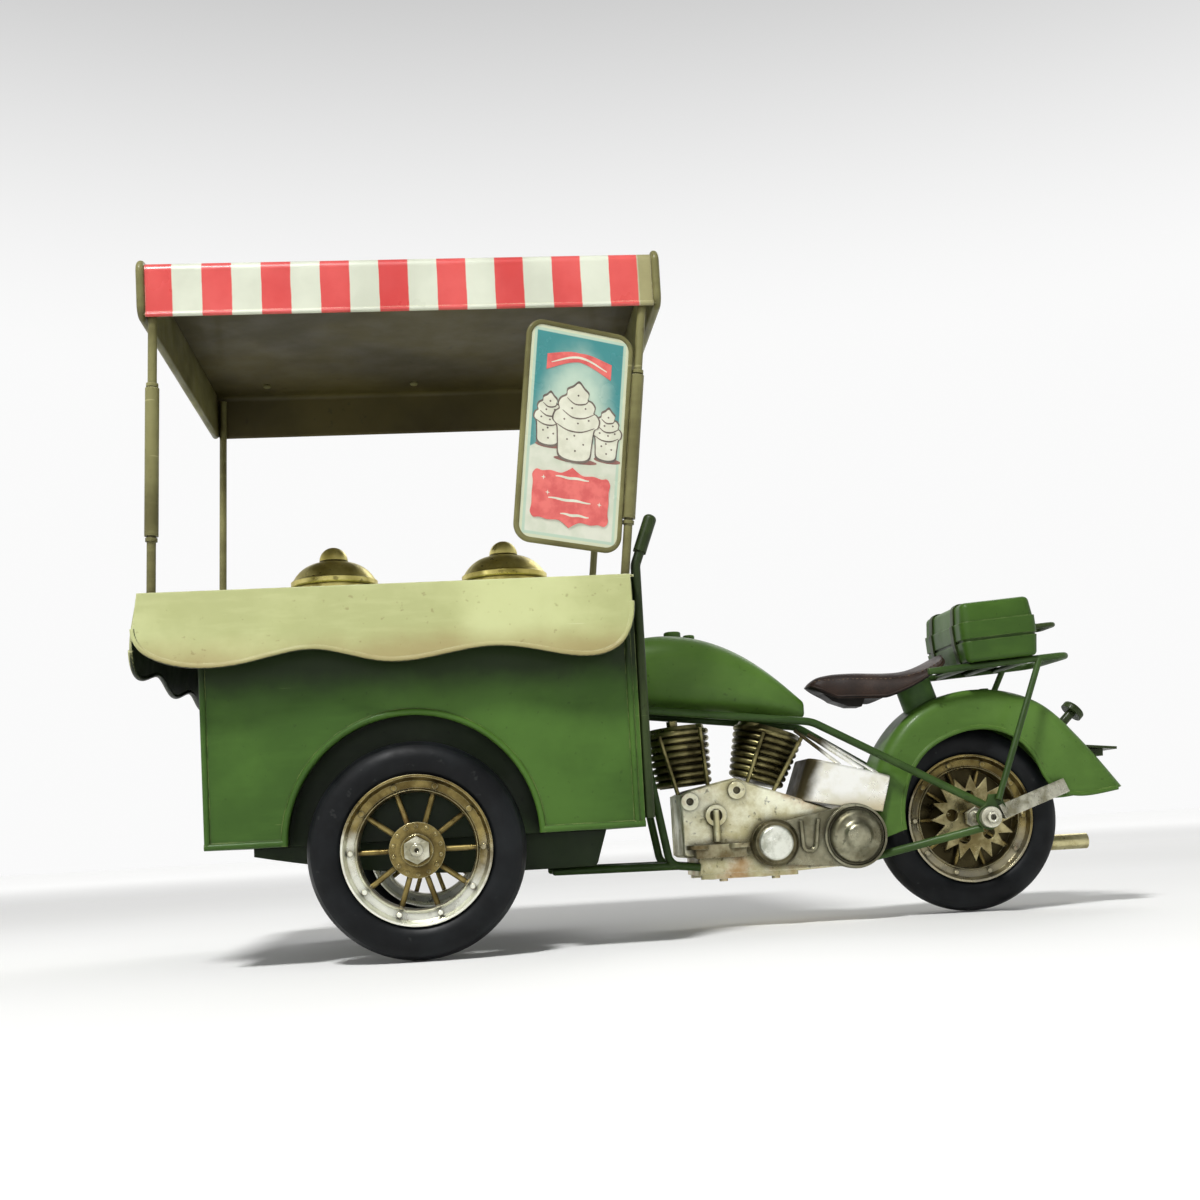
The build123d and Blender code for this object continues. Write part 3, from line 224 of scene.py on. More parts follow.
def aged_metal(name, bright, mid, tarnish_and_shade, roughness=0.32, patch=None, patch_share=0.5, hammered=0.2,
               scale=1.0, reach=2.5 * MM, metallic=0.92):
    """Antiqued metal: bright where worn, a dark tarnished colour in corners and where pieces meet (partly real
    tarnishing, partly painted shade), mottled in between.
    """
    look = Finish(name, metallic=metallic, roughness=roughness)
    mottle = look.fade(look.noise(70 * scale, 6, 0.62), 0.38, 0.64)
    tone = look.mix(mottle, mid, bright)
    if patch is not None:
        tint = look.fade(look.noise(34 * scale, 5, 0.6), 0.48, 0.64, 0.0, patch_share)
        tone = look.mix(tint, tone, patch)
    pits = look.fade(look.noise(380 * scale, 3), 0.62, 0.72, 0.0, 0.6)
    tone = look.mix(pits, tone, tarnish_and_shade)
    # painted shade with real tarnishing: the dark colour laid by ambient occlusion in corners and where pieces
    # meet
    fold = look.math("MULTIPLY", look.recess(reach, 0.4, 0.95), 0.9)
    tone = look.mix(fold, tone, tarnish_and_shade)
    edge, rounded = look.edge(0.5 * MM)
    tone = look.mix(look.math("MULTIPLY", edge, 0.6), tone, bright)
    look.set("Base Color", tone)
    look.gloss(110 * scale, 5, roughness - 0.1, roughness + 0.2)
    look.relief(look.noise(230 * scale, 5), hammered, 0.5 * MM, rounded)
    return look.material


# ------------------------------------------------------------- the materials
# dark green of the dirt specks and of the painted shade in folds
DIRT_AND_SHADE_GREEN = paint_rgb(22, 30, 12)
green = worn_paint(
    "green_enamel", paint_rgb(86, 120, 50), paint_rgb(68, 99, 36), paint_rgb(136, 158, 88), DIRT_AND_SHADE_GREEN
)
valance_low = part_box("valance_left")[0].z
# painted shadow of the valance: the cart's sides turn near black from just below the valance's lower edge
# upward
cart_green = worn_paint(
    "cart_enamel", paint_rgb(70, 104, 38), paint_rgb(54, 84, 27), paint_rgb(142, 156, 92), DIRT_AND_SHADE_GREEN,
    tint=(valance_low - 6 * MM, valance_low + 7 * MM, paint_rgb(24, 34, 11), 0.0, 0.9),
)
case_green = worn_paint(
    "suitcase_enamel", paint_rgb(68, 100, 34), paint_rgb(52, 80, 25), paint_rgb(112, 136, 74), DIRT_AND_SHADE_GREEN
)
tube_green = worn_paint(
    "tube_enamel", paint_rgb(66, 92, 41), paint_rgb(42, 64, 24), paint_rgb(120, 140, 80), DIRT_AND_SHADE_GREEN,
    edge_wear=0.4,
)
grip_green = worn_paint(
    "grip_enamel", paint_rgb(54, 68, 32), paint_rgb(36, 48, 20), paint_rgb(100, 112, 64), DIRT_AND_SHADE_GREEN,
    edge_wear=0.4,
)
# painted shade: a darker copy of the green enamel for the cart floor, wheel wells and belly pan, which sit in
# shade
shaded_green = worn_paint(
    "shadow_enamel", paint_rgb(34, 50, 20), paint_rgb(22, 34, 13), paint_rgb(58, 74, 36),
    paint_rgb(10, 14, 6), edge_wear=0.3,
)
# the dark inside colour is painted shade on the valances' inner faces and undersides; the brown band along
# their lower part is real staining
cream = worn_paint(
    "cream_enamel", paint_rgb(188, 193, 140), paint_rgb(164, 168, 116), paint_rgb(222, 226, 186),
    paint_rgb(112, 94, 56), shaded_inside=paint_rgb(30, 38, 20),
    tint=(valance_low + 8 * MM, valance_low + 20 * MM, paint_rgb(150, 132, 88), 0.7, 0.0),
)
wire = worn_paint(
    "gilt_enamel", paint_rgb(126, 123, 80), paint_rgb(88, 84, 50), paint_rgb(190, 187, 138),
    paint_rgb(58, 50, 28), edge_radius=0.4 * MM, roughness=0.38,
)
brass = aged_metal(
    "antique_brass_finish", paint_rgb(214, 206, 158), paint_rgb(156, 144, 96), paint_rgb(56, 48, 24)
)
lid_brass = aged_metal(
    "lid_brass_finish", paint_rgb(238, 226, 146), paint_rgb(196, 182, 102), paint_rgb(72, 60, 28),
    roughness=0.36, hammered=0.1,
)
barrel_brass = aged_metal(
    "barrel_brass_finish", paint_rgb(160, 152, 104), paint_rgb(78, 72, 44), paint_rgb(26, 22, 10),
    reach=3 * MM,
)
silver = aged_metal(
    "aged_silver_finish", paint_rgb(172, 170, 146), paint_rgb(106, 103, 82), paint_rgb(46, 42, 28),
    patch=paint_rgb(112, 104, 76), patch_share=0.5,
)
case_silver = aged_metal(
    "case_silver_finish", paint_rgb(250, 250, 226), paint_rgb(204, 197, 154), paint_rgb(60, 52, 30),
    patch=paint_rgb(184, 142, 84), patch_share=0.9, roughness=0.42, hammered=0.35, reach=4 * MM,
    metallic=0.8,
)
rust_plate = aged_metal(
    "footboard_finish", paint_rgb(186, 182, 150), paint_rgb(120, 106, 74), paint_rgb(44, 32, 16),
    patch=paint_rgb(110, 72, 38), patch_share=0.8, roughness=0.48,
)
bolt_steel = aged_metal(
    "bolt_finish", paint_rgb(222, 220, 200), paint_rgb(150, 146, 120), paint_rgb(48, 44, 28), scale=2.0,
    metallic=0.8,
)
sprocket_brass = aged_metal(
    "sprocket_finish", paint_rgb(182, 172, 128), paint_rgb(118, 106, 68), paint_rgb(34, 28, 14), scale=1.5
)


RIM_STARTS = 18.6 * MM      # distances from the axle
RIM_FULL = 20.0 * MM
PLATE_ENDS = 19.0 * MM
SILVER_AND_REFLECTION_SIDE = (-0.35, 0.0, -0.94)    # the rim turns silver most on this side, the lower front: silver wear, and a painted reflection of the floor


def wheel_metal(name, centre, silvering, plate_depth):
    """Brass worn to silver: spokes stay brass, the dish of the rim turns silver towards its lower front,
    partly real wear and partly a painted reflection of the floor.

    plate_depth is the thickness of the dark plate behind the spokes, where there is one.
    """
    look = Finish(name, metallic=0.9, roughness=0.3)
    from_axle = look.vector("SUBTRACT", look.place, tuple(centre))
    flat = look.vector("MULTIPLY", from_axle, (1.0, 0.0, 1.0))
    radius = look.vector("LENGTH", flat, (0.0, 0.0, 0.0))
    rim = look.fade(radius, RIM_STARTS, RIM_FULL)
    # silver wear patches from noise, pushed towards the lower front as a painted reflection of the floor
    lean = look.vector("DOT_PRODUCT", from_axle, SILVER_AND_REFLECTION_SIDE)
    brightened = look.math("ADD", look.math("MULTIPLY", lean, 14.0), look.noise(48, 5, 0.6))
    silvered = look.math("MULTIPLY", rim, look.fade(brightened, 0.40, 0.72, 0.0, silvering))
    cloud = look.fade(look.noise(120, 5), 0.35, 0.65)
    brassy = look.mix(cloud, paint_rgb(92, 78, 42), paint_rgb(150, 134, 82))
    tone = look.mix(silvered, brassy, paint_rgb(244, 245, 230))
    tone = look.mix(look.fade(look.noise(90, 5), 0.6, 0.7, 0.0, 0.55), tone, paint_rgb(92, 62, 34))
    # painted shade: a dark colour laid by ambient occlusion in folds and where spokes, rim and tyre meet
    fold = look.math("MULTIPLY", look.recess(1.8 * MM, 0.4, 0.95), 0.9)
    tone = look.mix(fold, tone, paint_rgb(36, 30, 16))
    edge, rounded = look.edge(0.4 * MM)
    tone = look.mix(look.math("MULTIPLY", edge, 0.7), tone, paint_rgb(222, 214, 172))
    if plate_depth is not None:
        near, far = 0.1 * MM, 0.3 * MM
        behind = look.math("ADD", look.axis("Y"), -centre.y)
        entered = look.fade(behind, -far, -near)
        not_left = look.fade(behind, plate_depth + near, plate_depth + far, 1.0, 0.0)
        within = look.fade(radius, PLATE_ENDS - 0.2 * MM, PLATE_ENDS + 0.2 * MM, 1.0, 0.0)
        plate = look.math("MULTIPLY", look.math("MULTIPLY", entered, not_left), within)
        dark = look.mix(look.noise(90, 5), paint_rgb(34, 30, 17), paint_rgb(74, 66, 40))
        tone = look.mix(plate, tone, dark)
    look.set("Base Color", tone)
    look.gloss(130, 5, 0.2, 0.48)
    look.relief(look.noise(260, 5), 0.22, 0.4 * MM, rounded)
    return look.material


def tyre_rubber():
    """Black rubber with a faint grey bloom."""
    look = Finish("tyre_rubber", roughness=0.5, specular=0.2)
    bloom = look.fade(look.noise(60, 5), 0.4, 0.7)
    tone = look.mix(bloom, paint_rgb(8, 10, 12), paint_rgb(22, 25, 27))
    tone = look.mix(look.fade(look.noise(300, 2), 0.68, 0.76, 0.0, 0.3), tone, paint_rgb(60, 62, 60))
    look.set("Base Color", tone)
    look.gloss(80, 4, 0.4, 0.62)
    look.relief(look.noise(500, 4), 0.12, 0.3 * MM)
    return look.material


def saddle_leather():
    """Dark brown leather, pored and creased, paler on worn edges, over a black pan."""
    look = Finish("saddle_leather", roughness=0.5, specular=0.22)
    pores = {"Vector": look.place, "Scale": 900.0}
    grain = look.node("ShaderNodeTexVoronoi", pores, feature="DISTANCE_TO_EDGE").outputs["Distance"]
    tone = look.mix(look.fade(look.noise(70, 5), 0.35, 0.7), paint_rgb(34, 22, 15), paint_rgb(54, 38, 28))
    tone = look.mix(look.fade(grain, 0.0, 0.12, 0.5, 0.0), tone, paint_rgb(20, 13, 10))
    edge, rounded = look.edge(0.9 * MM)
    tone = look.mix(look.math("MULTIPLY", edge, 0.4), tone, paint_rgb(88, 68, 52))
    pan = look.fade(look.axis("Z", look.facing()), -0.45, -0.1, 1.0, 0.0)
    look.set("Base Color", look.mix(pan, tone, paint_rgb(12, 9, 7)))
    look.gloss(60, 3, 0.4, 0.6)
    creases = look.noise(110, 4)
    height = look.math("ADD", look.math("MULTIPLY", look.math("MINIMUM", grain, 0.12), 4.0), creases)
    look.relief(height, 0.22, 0.2 * MM, rounded)
    return look.material


def aged_thread():
    """Waxed thread, darkened unevenly."""
    look = Finish("saddle_thread", roughness=0.7)
    cloud = look.fade(look.noise(900, 2), 0.4, 0.6)
    look.set("Base Color", look.mix(cloud, paint_rgb(60, 44, 34), paint_rgb(110, 90, 68)))
    look.relief(look.noise(1500, 2), 0.3, 0.1 * MM)
    return look.material


STRIPE_START = -173.8 * MM    # where the first stripe begins, along the vehicle
STRIPE_WIDTH = 9.8 * MM
STRIPES = 17                  # behind the last one the sheet is bare


def canopy_paint():
    """Printed stripes outside; the unprinted underside is olive lacquered tin, darkened as painted shade."""
    look = Finish("canopy_enamel", roughness=0.34, coat=0.08, specular=0.35)
    wobble = look.math("MULTIPLY", look.math("SUBTRACT", look.noise(120, 3), 0.5), 0.5 * MM)
    along = look.math("ADD", look.axis("X"), wobble)
    step = look.math("DIVIDE", look.math("SUBTRACT", along, STRIPE_START), 2 * STRIPE_WIDTH)
    band = look.math("FRACT", step)
    white = look.math("MULTIPLY", look.fade(band, 0.485, 0.505), look.fade(band, 0.99, 1.0, 1.0, 0.0))
    cloud = look.fade(look.noise(26, 5), 0.35, 0.68)
    red = look.mix(cloud, paint_rgb(190, 62, 60), paint_rgb(208, 86, 82))
    pale = look.mix(cloud, paint_rgb(186, 190, 172), paint_rgb(204, 208, 190))
    print_tone = look.mix(white, red, pale)
    last, blur = STRIPE_START + STRIPES * STRIPE_WIDTH, 0.05 * STRIPE_WIDTH
    bare_sheet = look.mix(cloud, paint_rgb(112, 106, 70), paint_rgb(156, 151, 108))
    print_tone = look.mix(look.fade(along, last - blur, last + blur), print_tone, bare_sheet)
    edge, rounded = look.edge(0.8 * MM)
    brightened = look.math("MULTIPLY", edge, look.fade(look.noise(170, 5), 0.42, 0.62, 0.1, 0.8))
    print_tone = look.mix(brightened, print_tone, paint_rgb(222, 218, 184))
    facing = look.facing()
    outward = look.fade(look.math("MAXIMUM", look.sideways(facing), look.axis("Z", facing)), 0.1, 0.2)
    # painted shade: the underside and inner faces of the roof take a dark olive, darker than the bare sheet
    shaded_lacquer = look.mix(look.fade(look.noise(18, 4), 0.35, 0.65), paint_rgb(60, 53, 24), paint_rgb(79, 71, 35))
    speck = look.fade(look.noise(300, 2), 0.66, 0.76, 0.0, 0.4)
    shaded_lacquer = look.mix(speck, shaded_lacquer, paint_rgb(44, 38, 22))
    look.set("Base Color", look.mix(outward, shaded_lacquer, print_tone))
    gloss = look.fade(look.noise(60, 4), 0.3, 0.7, 0.26, 0.44)
    inner = look.math("SUBTRACT", 1.0, outward)
    look.set("Roughness", look.math("ADD", gloss, look.math("MULTIPLY", inner, 0.3)))
    look.relief(look.noise(55, 3), 0.16, 0.9 * MM, rounded)
    return look.material


TANK_SLOPE = (0.94, 0.0, -0.34)    # direction square to the oil tank's slanted front
TANK_FRONT_SHADE = (13 * MM, 18 * MM)     # painted shade on the forward-facing front ends between these distances from its foremost point


def tank_silver():
    """Oil tank: worn bright, with painted shade along its rounded front, which faces forward."""
    foot_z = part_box("oil_tank")[0].z
    look = Finish("oil_tank_finish", metallic=0.6, roughness=0.32, specular=0.25)
    slant = look.vector("DOT_PRODUCT", look.place, TANK_SLOPE)
    start = min(v.co.dot(Vector(TANK_SLOPE)) for v in NODES["oil_tank"].data.vertices)
    reach = look.math("ADD", slant, look.math("MULTIPLY", look.noise(70, 5), 0.006))
    front = look.fade(reach, start + TANK_FRONT_SHADE[0], start + TANK_FRONT_SHADE[1], 1.0, 0.0)
    cloud = look.fade(look.noise(90, 5), 0.4, 0.62)
    bright = look.mix(cloud, paint_rgb(250, 250, 244), paint_rgb(228, 226, 208))
    # painted shade on the front, shading into the bright metal
    tone = look.mix(front, bright, look.mix(look.noise(80, 4), paint_rgb(40, 35, 20), paint_rgb(84, 76, 50)))
    foot = look.fade(look.math("ADD", look.axis("Z"), look.math("MULTIPLY", look.noise(90, 5), 0.01)),
                     foot_z + 6 * MM, foot_z + 13 * MM, 0.7, 0.0)
    tone = look.mix(foot, tone, paint_rgb(186, 168, 116))
    edge, rounded = look.edge(0.7 * MM)
    worn = look.math("MULTIPLY", edge, look.fade(look.noise(200, 4), 0.4, 0.6, 0.1, 0.7))
    tone = look.mix(worn, tone, paint_rgb(110, 104, 78))
    look.set("Base Color", tone)
    gloss = look.fade(look.noise(120, 5), 0.3, 0.7, 0.24, 0.5)
    look.set("Roughness", look.math("ADD", gloss, look.math("MULTIPLY", front, 0.3)))
    look.relief(look.noise(180, 5), 0.25, 0.5 * MM, rounded)
    return look.material


def generator_metal():
    """Dark rim round a bright mottled disc."""
    lowest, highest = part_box("generator")
    look = Finish("generator_finish", metallic=0.9, roughness=0.36)
    from_middle = look.vector("SUBTRACT", look.place, tuple((lowest + highest) / 2))
    radius = look.vector("LENGTH", look.vector("MULTIPLY", from_middle, (1.0, 0.0, 1.0)), (0.0, 0.0, 0.0))
    outer = (highest.x - lowest.x) / 2
    disc = look.fade(radius, 0.70 * outer, 0.76 * outer, 1.0, 0.0)
    mottle = look.fade(look.noise(160, 6, 0.62), 0.36, 0.62)
    bright = look.mix(mottle, paint_rgb(176, 178, 160), paint_rgb(240, 242, 230))
    dull = look.mix(mottle, paint_rgb(70, 64, 44), paint_rgb(110, 104, 78))
    tone = look.mix(disc, dull, bright)
    edge, rounded = look.edge(0.5 * MM)
    tone = look.mix(look.math("MULTIPLY", edge, 0.4), tone, paint_rgb(200, 196, 168))
    look.set("Base Color", tone)
    look.gloss(150, 5, 0.26, 0.52)
    look.relief(look.noise(260, 5), 0.25, 0.5 * MM, rounded)
    return look.material


BRACKET_END = 89 * MM    # where the black bracket stops and the green can starts, along the vehicle


def mount_paint():
    """Green can under the saddle's back, blackened bracket under its nose."""
    look = Finish("saddle_mount_finish", roughness=0.5, specular=0.25)
    bracket = look.fade(look.axis("X"), BRACKET_END - MM, BRACKET_END + MM, 1.0, 0.0)
    cloud = look.fade(look.noise(70, 5), 0.35, 0.65)
    can = look.mix(cloud, paint_rgb(52, 80, 34), paint_rgb(74, 106, 48))
    black = look.mix(cloud, paint_rgb(14, 11, 9), paint_rgb(26, 21, 16))
    edge, rounded = look.edge(0.5 * MM)
    can = look.mix(look.math("MULTIPLY", edge, 0.35), can, paint_rgb(120, 132, 90))
    tone = look.mix(bracket, can, black)
    look.set("Base Color", tone)
    look.gloss(90, 4, 0.38, 0.58)
    look.relief(look.noise(160, 4), 0.2, 0.4 * MM, rounded)
    return look.material


FINISHES = {
    green: ("fuel_tank", "filler_caps", "rear_fender"),
    cart_green: ("cart_side_left", "cart_side_right", "cart_front_panel"),
    case_green: ("suitcase", "cart_rear_panel"),
    tube_green: ("upper_frame_tubes", "lower_frame_tubes", "luggage_rack"),
    grip_green: ("handlebar_left", "handlebar_right", "suitcase_trim", "tail_lamps"),
    shaded_green: ("cart_floor", "wheel_well_left", "wheel_well_right", "belly_pan"),
    cream: ("counter_top", "valance_left", "valance_right", "valance_front"),
    wire: (
        "post_front_left", "post_front_right", "post_rear_left", "post_rear_right", "roof_ends",
        "sign_rear_frame", "sign_front_frame", "roof_screws",
    ),
    lid_brass: ("lid_front", "lid_rear", "tub_front", "tub_rear"),
    brass: ("exhaust_pipe",),
    barrel_brass: ("cylinder_front", "cylinder_rear", "pushrods"),
    silver: ("primary_case",),
    generator_metal(): ("generator",),
    case_silver: ("crankcase", "engine_fittings"),
    rust_plate: ("footboard",),
    bolt_steel: ("front_axle", "rear_axle", "fender_stays"),
    sprocket_brass: ("rear_sprocket",),
    tyre_rubber(): ("front_tyre_left", "front_tyre_right", "rear_tyre"),
    canopy_paint(): ("roof_sheet",),
    tank_silver(): ("oil_tank",),
    mount_paint(): ("saddle_mount",),
}


def wear(node, material):
    """Gives a CAD node its material."""
    mesh = NODES[node].data
    mesh.materials.clear()
    mesh.materials.append(material)


for material, names in FINISHES.items():
    for name in names:
        wear(name, material)

# Each wheel's share of silver, and the thickness of the plate behind its spokes
WHEELS = {"front_wheel_left": (1.0, None), "front_wheel_right": (1.0, None), "rear_wheel": (0.25, 0.8 * MM)}

for wheel, (silvering, plate_depth) in WHEELS.items():
    lowest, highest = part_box(wheel)
    wear(wheel, wheel_metal(wheel + "_finish", (lowest + highest) / 2, silvering, plate_depth))


# --------------------------------------------------------------- mesh helpers
def add_mesh(name, vertices, faces, material, body, smooth=True):
    """A new piece that rides on a body and takes its finish from a slot."""
    mesh = bpy.data.meshes.new(name)
    mesh.from_pydata([tuple(v) for v in vertices], [], faces)
    mesh.validate()
    for face in mesh.polygons:
        face.use_smooth = smooth
    made = bpy.data.objects.new(name, mesh)
    bpy.context.scene.collection.objects.link(made)
    mesh.materials.append(material)
    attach(made, body)
    return made


def close_up(made):
    """Merges coincident points and turns every face outward."""
    work = bmesh.new()
    work.from_mesh(made.data)
    bmesh.ops.remove_doubles(work, verts=work.verts, dist=1e-6)
    bmesh.ops.recalc_face_normals(work, faces=work.faces)
    work.to_mesh(made.data)
    work.free()
    return made


def through(points, steps, closed=False):
    """A smooth run of points through the given ones (Catmull-Rom), of any dimension."""
    count = len(points)
    spans = count if closed else count - 1
    run = []
    for span in range(spans):
        if closed:
            a, b, c, d = (points[(span + k) % count] for k in (-1, 0, 1, 2))
        else:
            a, b = points[max(span - 1, 0)], points[span]
            c, d = points[span + 1], points[min(span + 2, count - 1)]
        for step in range(steps):
            t = step / steps
            run.append(tuple(
                0.5 * (2 * q + (r - p) * t + (2 * p - 5 * q + 4 * r - s) * t * t
                       + (3 * q - p - 3 * r + s) * t ** 3)
                for p, q, r, s in zip(a, b, c, d)
            ))
    if not closed:
        run.append(tuple(points[-1]))
    return run


def add_ring_tube(name, points, radius, material, body, sides=10):
    """A round tube along a closed run of points, its rings square to the run."""
    vertices, faces = [], []
    count = len(points)
    for index, point in enumerate(points):
        ahead = (points[(index + 1) % count] - points[index - 1]).normalized()
        across = ahead.cross(Vector((0, 0, 1))).normalized()
        up = across.cross(ahead)
        for k in range(sides):
            turn = 2 * pi * k / sides
            vertices.append(point + radius * (cos(turn) * across + sin(turn) * up))
    for index in range(count):
        nxt = (index + 1) % count
        for k in range(sides):
            side = (k + 1) % sides
            faces.append((index * sides + k, index * sides + side, nxt * sides + side, nxt * sides + k))
    return close_up(add_mesh(name, vertices, faces, material, body))


STITCH_LENGTH = 1.1 * MM
STITCH_GAP = 0.7 * MM
THREAD_RADIUS = 0.16 * MM


def stitches(name, points, material, sides=6, rings=4):
    """Short thread beads laid end to end along a run."""
    vertices, faces = [], []
    travelled, target = 0.0, 0.0
    for a, b in zip(points, points[1:]):
        span = (b - a).length
        ahead = (b - a).normalized()
        across = ahead.cross(Vector((0, 0, 1))).normalized()
        up = across.cross(ahead)
        while target < travelled + span:
            start = a + ahead * (target - travelled)
            first = len(vertices)
            for ring in range(rings + 1):
                t = ring / rings
                girth = THREAD_RADIUS * (0.35 + 0.65 * sin(pi * t))
                rise = THREAD_RADIUS * 0.5 * sin(pi * t)
                centre = start + ahead * (STITCH_LENGTH * t) + up * rise
                for k in range(sides):
                    turn = 2 * pi * k / sides
                    vertices.append(centre + girth * (cos(turn) * across + sin(turn) * up))
            for ring in range(rings):
                for k in range(sides):
                    side = (k + 1) % sides
                    low, high = first + ring * sides, first + (ring + 1) * sides
                    faces.append((low + k, low + side, high + side, high + k))
            faces.append(tuple(first + k for k in range(sides))[::-1])
            faces.append(tuple(first + rings * sides + k for k in range(sides)))
            target += STITCH_LENGTH + STITCH_GAP
        travelled += span
    return close_up(add_mesh(name, vertices, faces, material, "chassis"))


# --------------------------------------------------------------------- saddle
# Stations along the saddle: x, top, underside, half width, all in mm
SADDLE = (
    (59.6, 90.6, 89.8, 1.6), (61.2, 92.2, 88.8, 4.6), (64.0, 94.0, 87.6, 6.5), (68.0, 94.9, 86.7, 7.6),
    (72.0, 95.3, 86.2, 8.8), (78.0, 95.4, 86.0, 11.0), (84.0, 95.1, 86.2, 13.4), (90.0, 94.8, 87.0, 15.6),
    (96.0, 94.9, 88.6, 17.2), (102.0, 96.1, 90.6, 18.1), (107.0, 98.0, 92.9, 17.6),
    (111.0, 99.8, 95.2, 14.6), (113.2, 100.6, 97.4, 7.0),
)
RING = 40
SKIRT_DROP = 4.6                # how far the sides hang below the seat's middle line
SKIRT_NOSE = (61.0, 9.0)        # where the droop starts, and the length it grows over
SKIRT_TAIL = (104.0, 16.0)      # where it has faded out again, and the length before that
CROWN = 0.007                   # how fast the top falls away from the middle line
DISH = 0.16                     # how deep the middle of the top is pressed in
SEAM_TURN = 0.6                 # where the stitched seam runs round each station, radians from the side
WELT_RADIUS = 0.42 * MM


def skirt(x, across, up):
    """Droop of the seat's sides, fading out at its nose, its tail and its middle."""
    nose = max(0.0, min(1.0, (x - SKIRT_NOSE[0]) / SKIRT_NOSE[1]))
    tail = max(0.0, min(1.0, (SKIRT_TAIL[0] - x) / SKIRT_TAIL[1]))
    return SKIRT_DROP * nose * tail * abs(across) ** 3 * (1 - max(up, 0.0))


def seat_point(station, turn):
    """A point of the seat's surface; turn runs round the station from its left side over the top."""
    x, top, under, half = station
    middle, height = (top + under) / 2, (top - under) / 2
    across, up = cos(turn), sin(turn)
    y = half * (abs(across) ** 0.72) * (1 if across >= 0 else -1)
    z = middle + height * (abs(up) ** 0.8) * (1 if up >= 0 else -1)
    if up > 0:
        z -= DISH * height * (1 - across * across) ** 2 * min(half / 14, 1)
    return Vector((x, y, z - CROWN * y * y - skirt(x, across, up))) * MM


def build_saddle():
    """A dished seat: crowned nose, hollow for the rider, cantle rising behind, sides tucked under."""
    stations = through(SADDLE, 5)
    vertices = [seat_point(station, 2 * pi * k / RING) for station in stations for k in range(RING)]
    faces = []
    for s in range(len(stations) - 1):
        for k in range(RING):
            nxt = (k + 1) % RING
            faces.append((s * RING + k, s * RING + nxt, (s + 1) * RING + nxt, (s + 1) * RING + k))
    faces.append(tuple(range(RING))[::-1])
    faces.append(tuple((len(stations) - 1) * RING + k for k in range(RING)))
    leather = saddle_leather()
    seat = close_up(add_mesh("saddle_leather_seat", vertices, faces, leather, "chassis"))
    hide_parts("saddle")

    rim = stations[2:-2]
    welt = [seat_point(station, 0.0) for station in rim]
    welt += [seat_point(station, pi) for station in reversed(rim)]
    add_ring_tube("saddle_edge_welt", welt, WELT_RADIUS, leather, "chassis")
    thread = aged_thread()
    for side, turn in (("left", SEAM_TURN), ("right", pi - SEAM_TURN)):
        row = [seat_point(station, turn) + Vector((0, 0, 0.06 * MM)) for station in stations[4:-4]]
        stitches(f"saddle_stitching_{side}", row, thread)


build_saddle()


# ---------------------------------------------------------------------- signs
def sign_axes(joint_name, node):
    """A sign board's centre, its reading, up and face directions, its width and its height."""
    joint = next(j for j in frame["joints"] if j["name"] == joint_name)
    up = Vector(joint["axis"]).normalized()
    if up.z < 0:
        up = -up
    points = [v.co for v in NODES[node].data.vertices]
    pivot = Vector(joint["pos_m"])
    spread = [p - pivot for p in points]
    middle = sum(spread, Vector()) / len(spread)
    toward = (middle - up * middle.dot(up)).normalized()
    along = [s.dot(toward) for s in spread]
    height = [s.dot(up) for s in spread]
    centre = pivot + toward * (min(along) + max(along)) / 2 + up * (min(height) + max(height)) / 2
    reading = -toward
    return centre, reading, up, reading.cross(up), max(along) - min(along), max(height) - min(height)


# Places on the printed sheet, in board widths across and board heights up, from its middle
GLOW_AT = 0.06
MOUND_TOP = -0.01
MARGIN_ACROSS = (0.437, 0.447)
MARGIN_UP = (0.468, 0.473)
RIM_LINE_ACROSS = (0.465, 0.472)
RIM_LINE_UP = (0.482, 0.486)


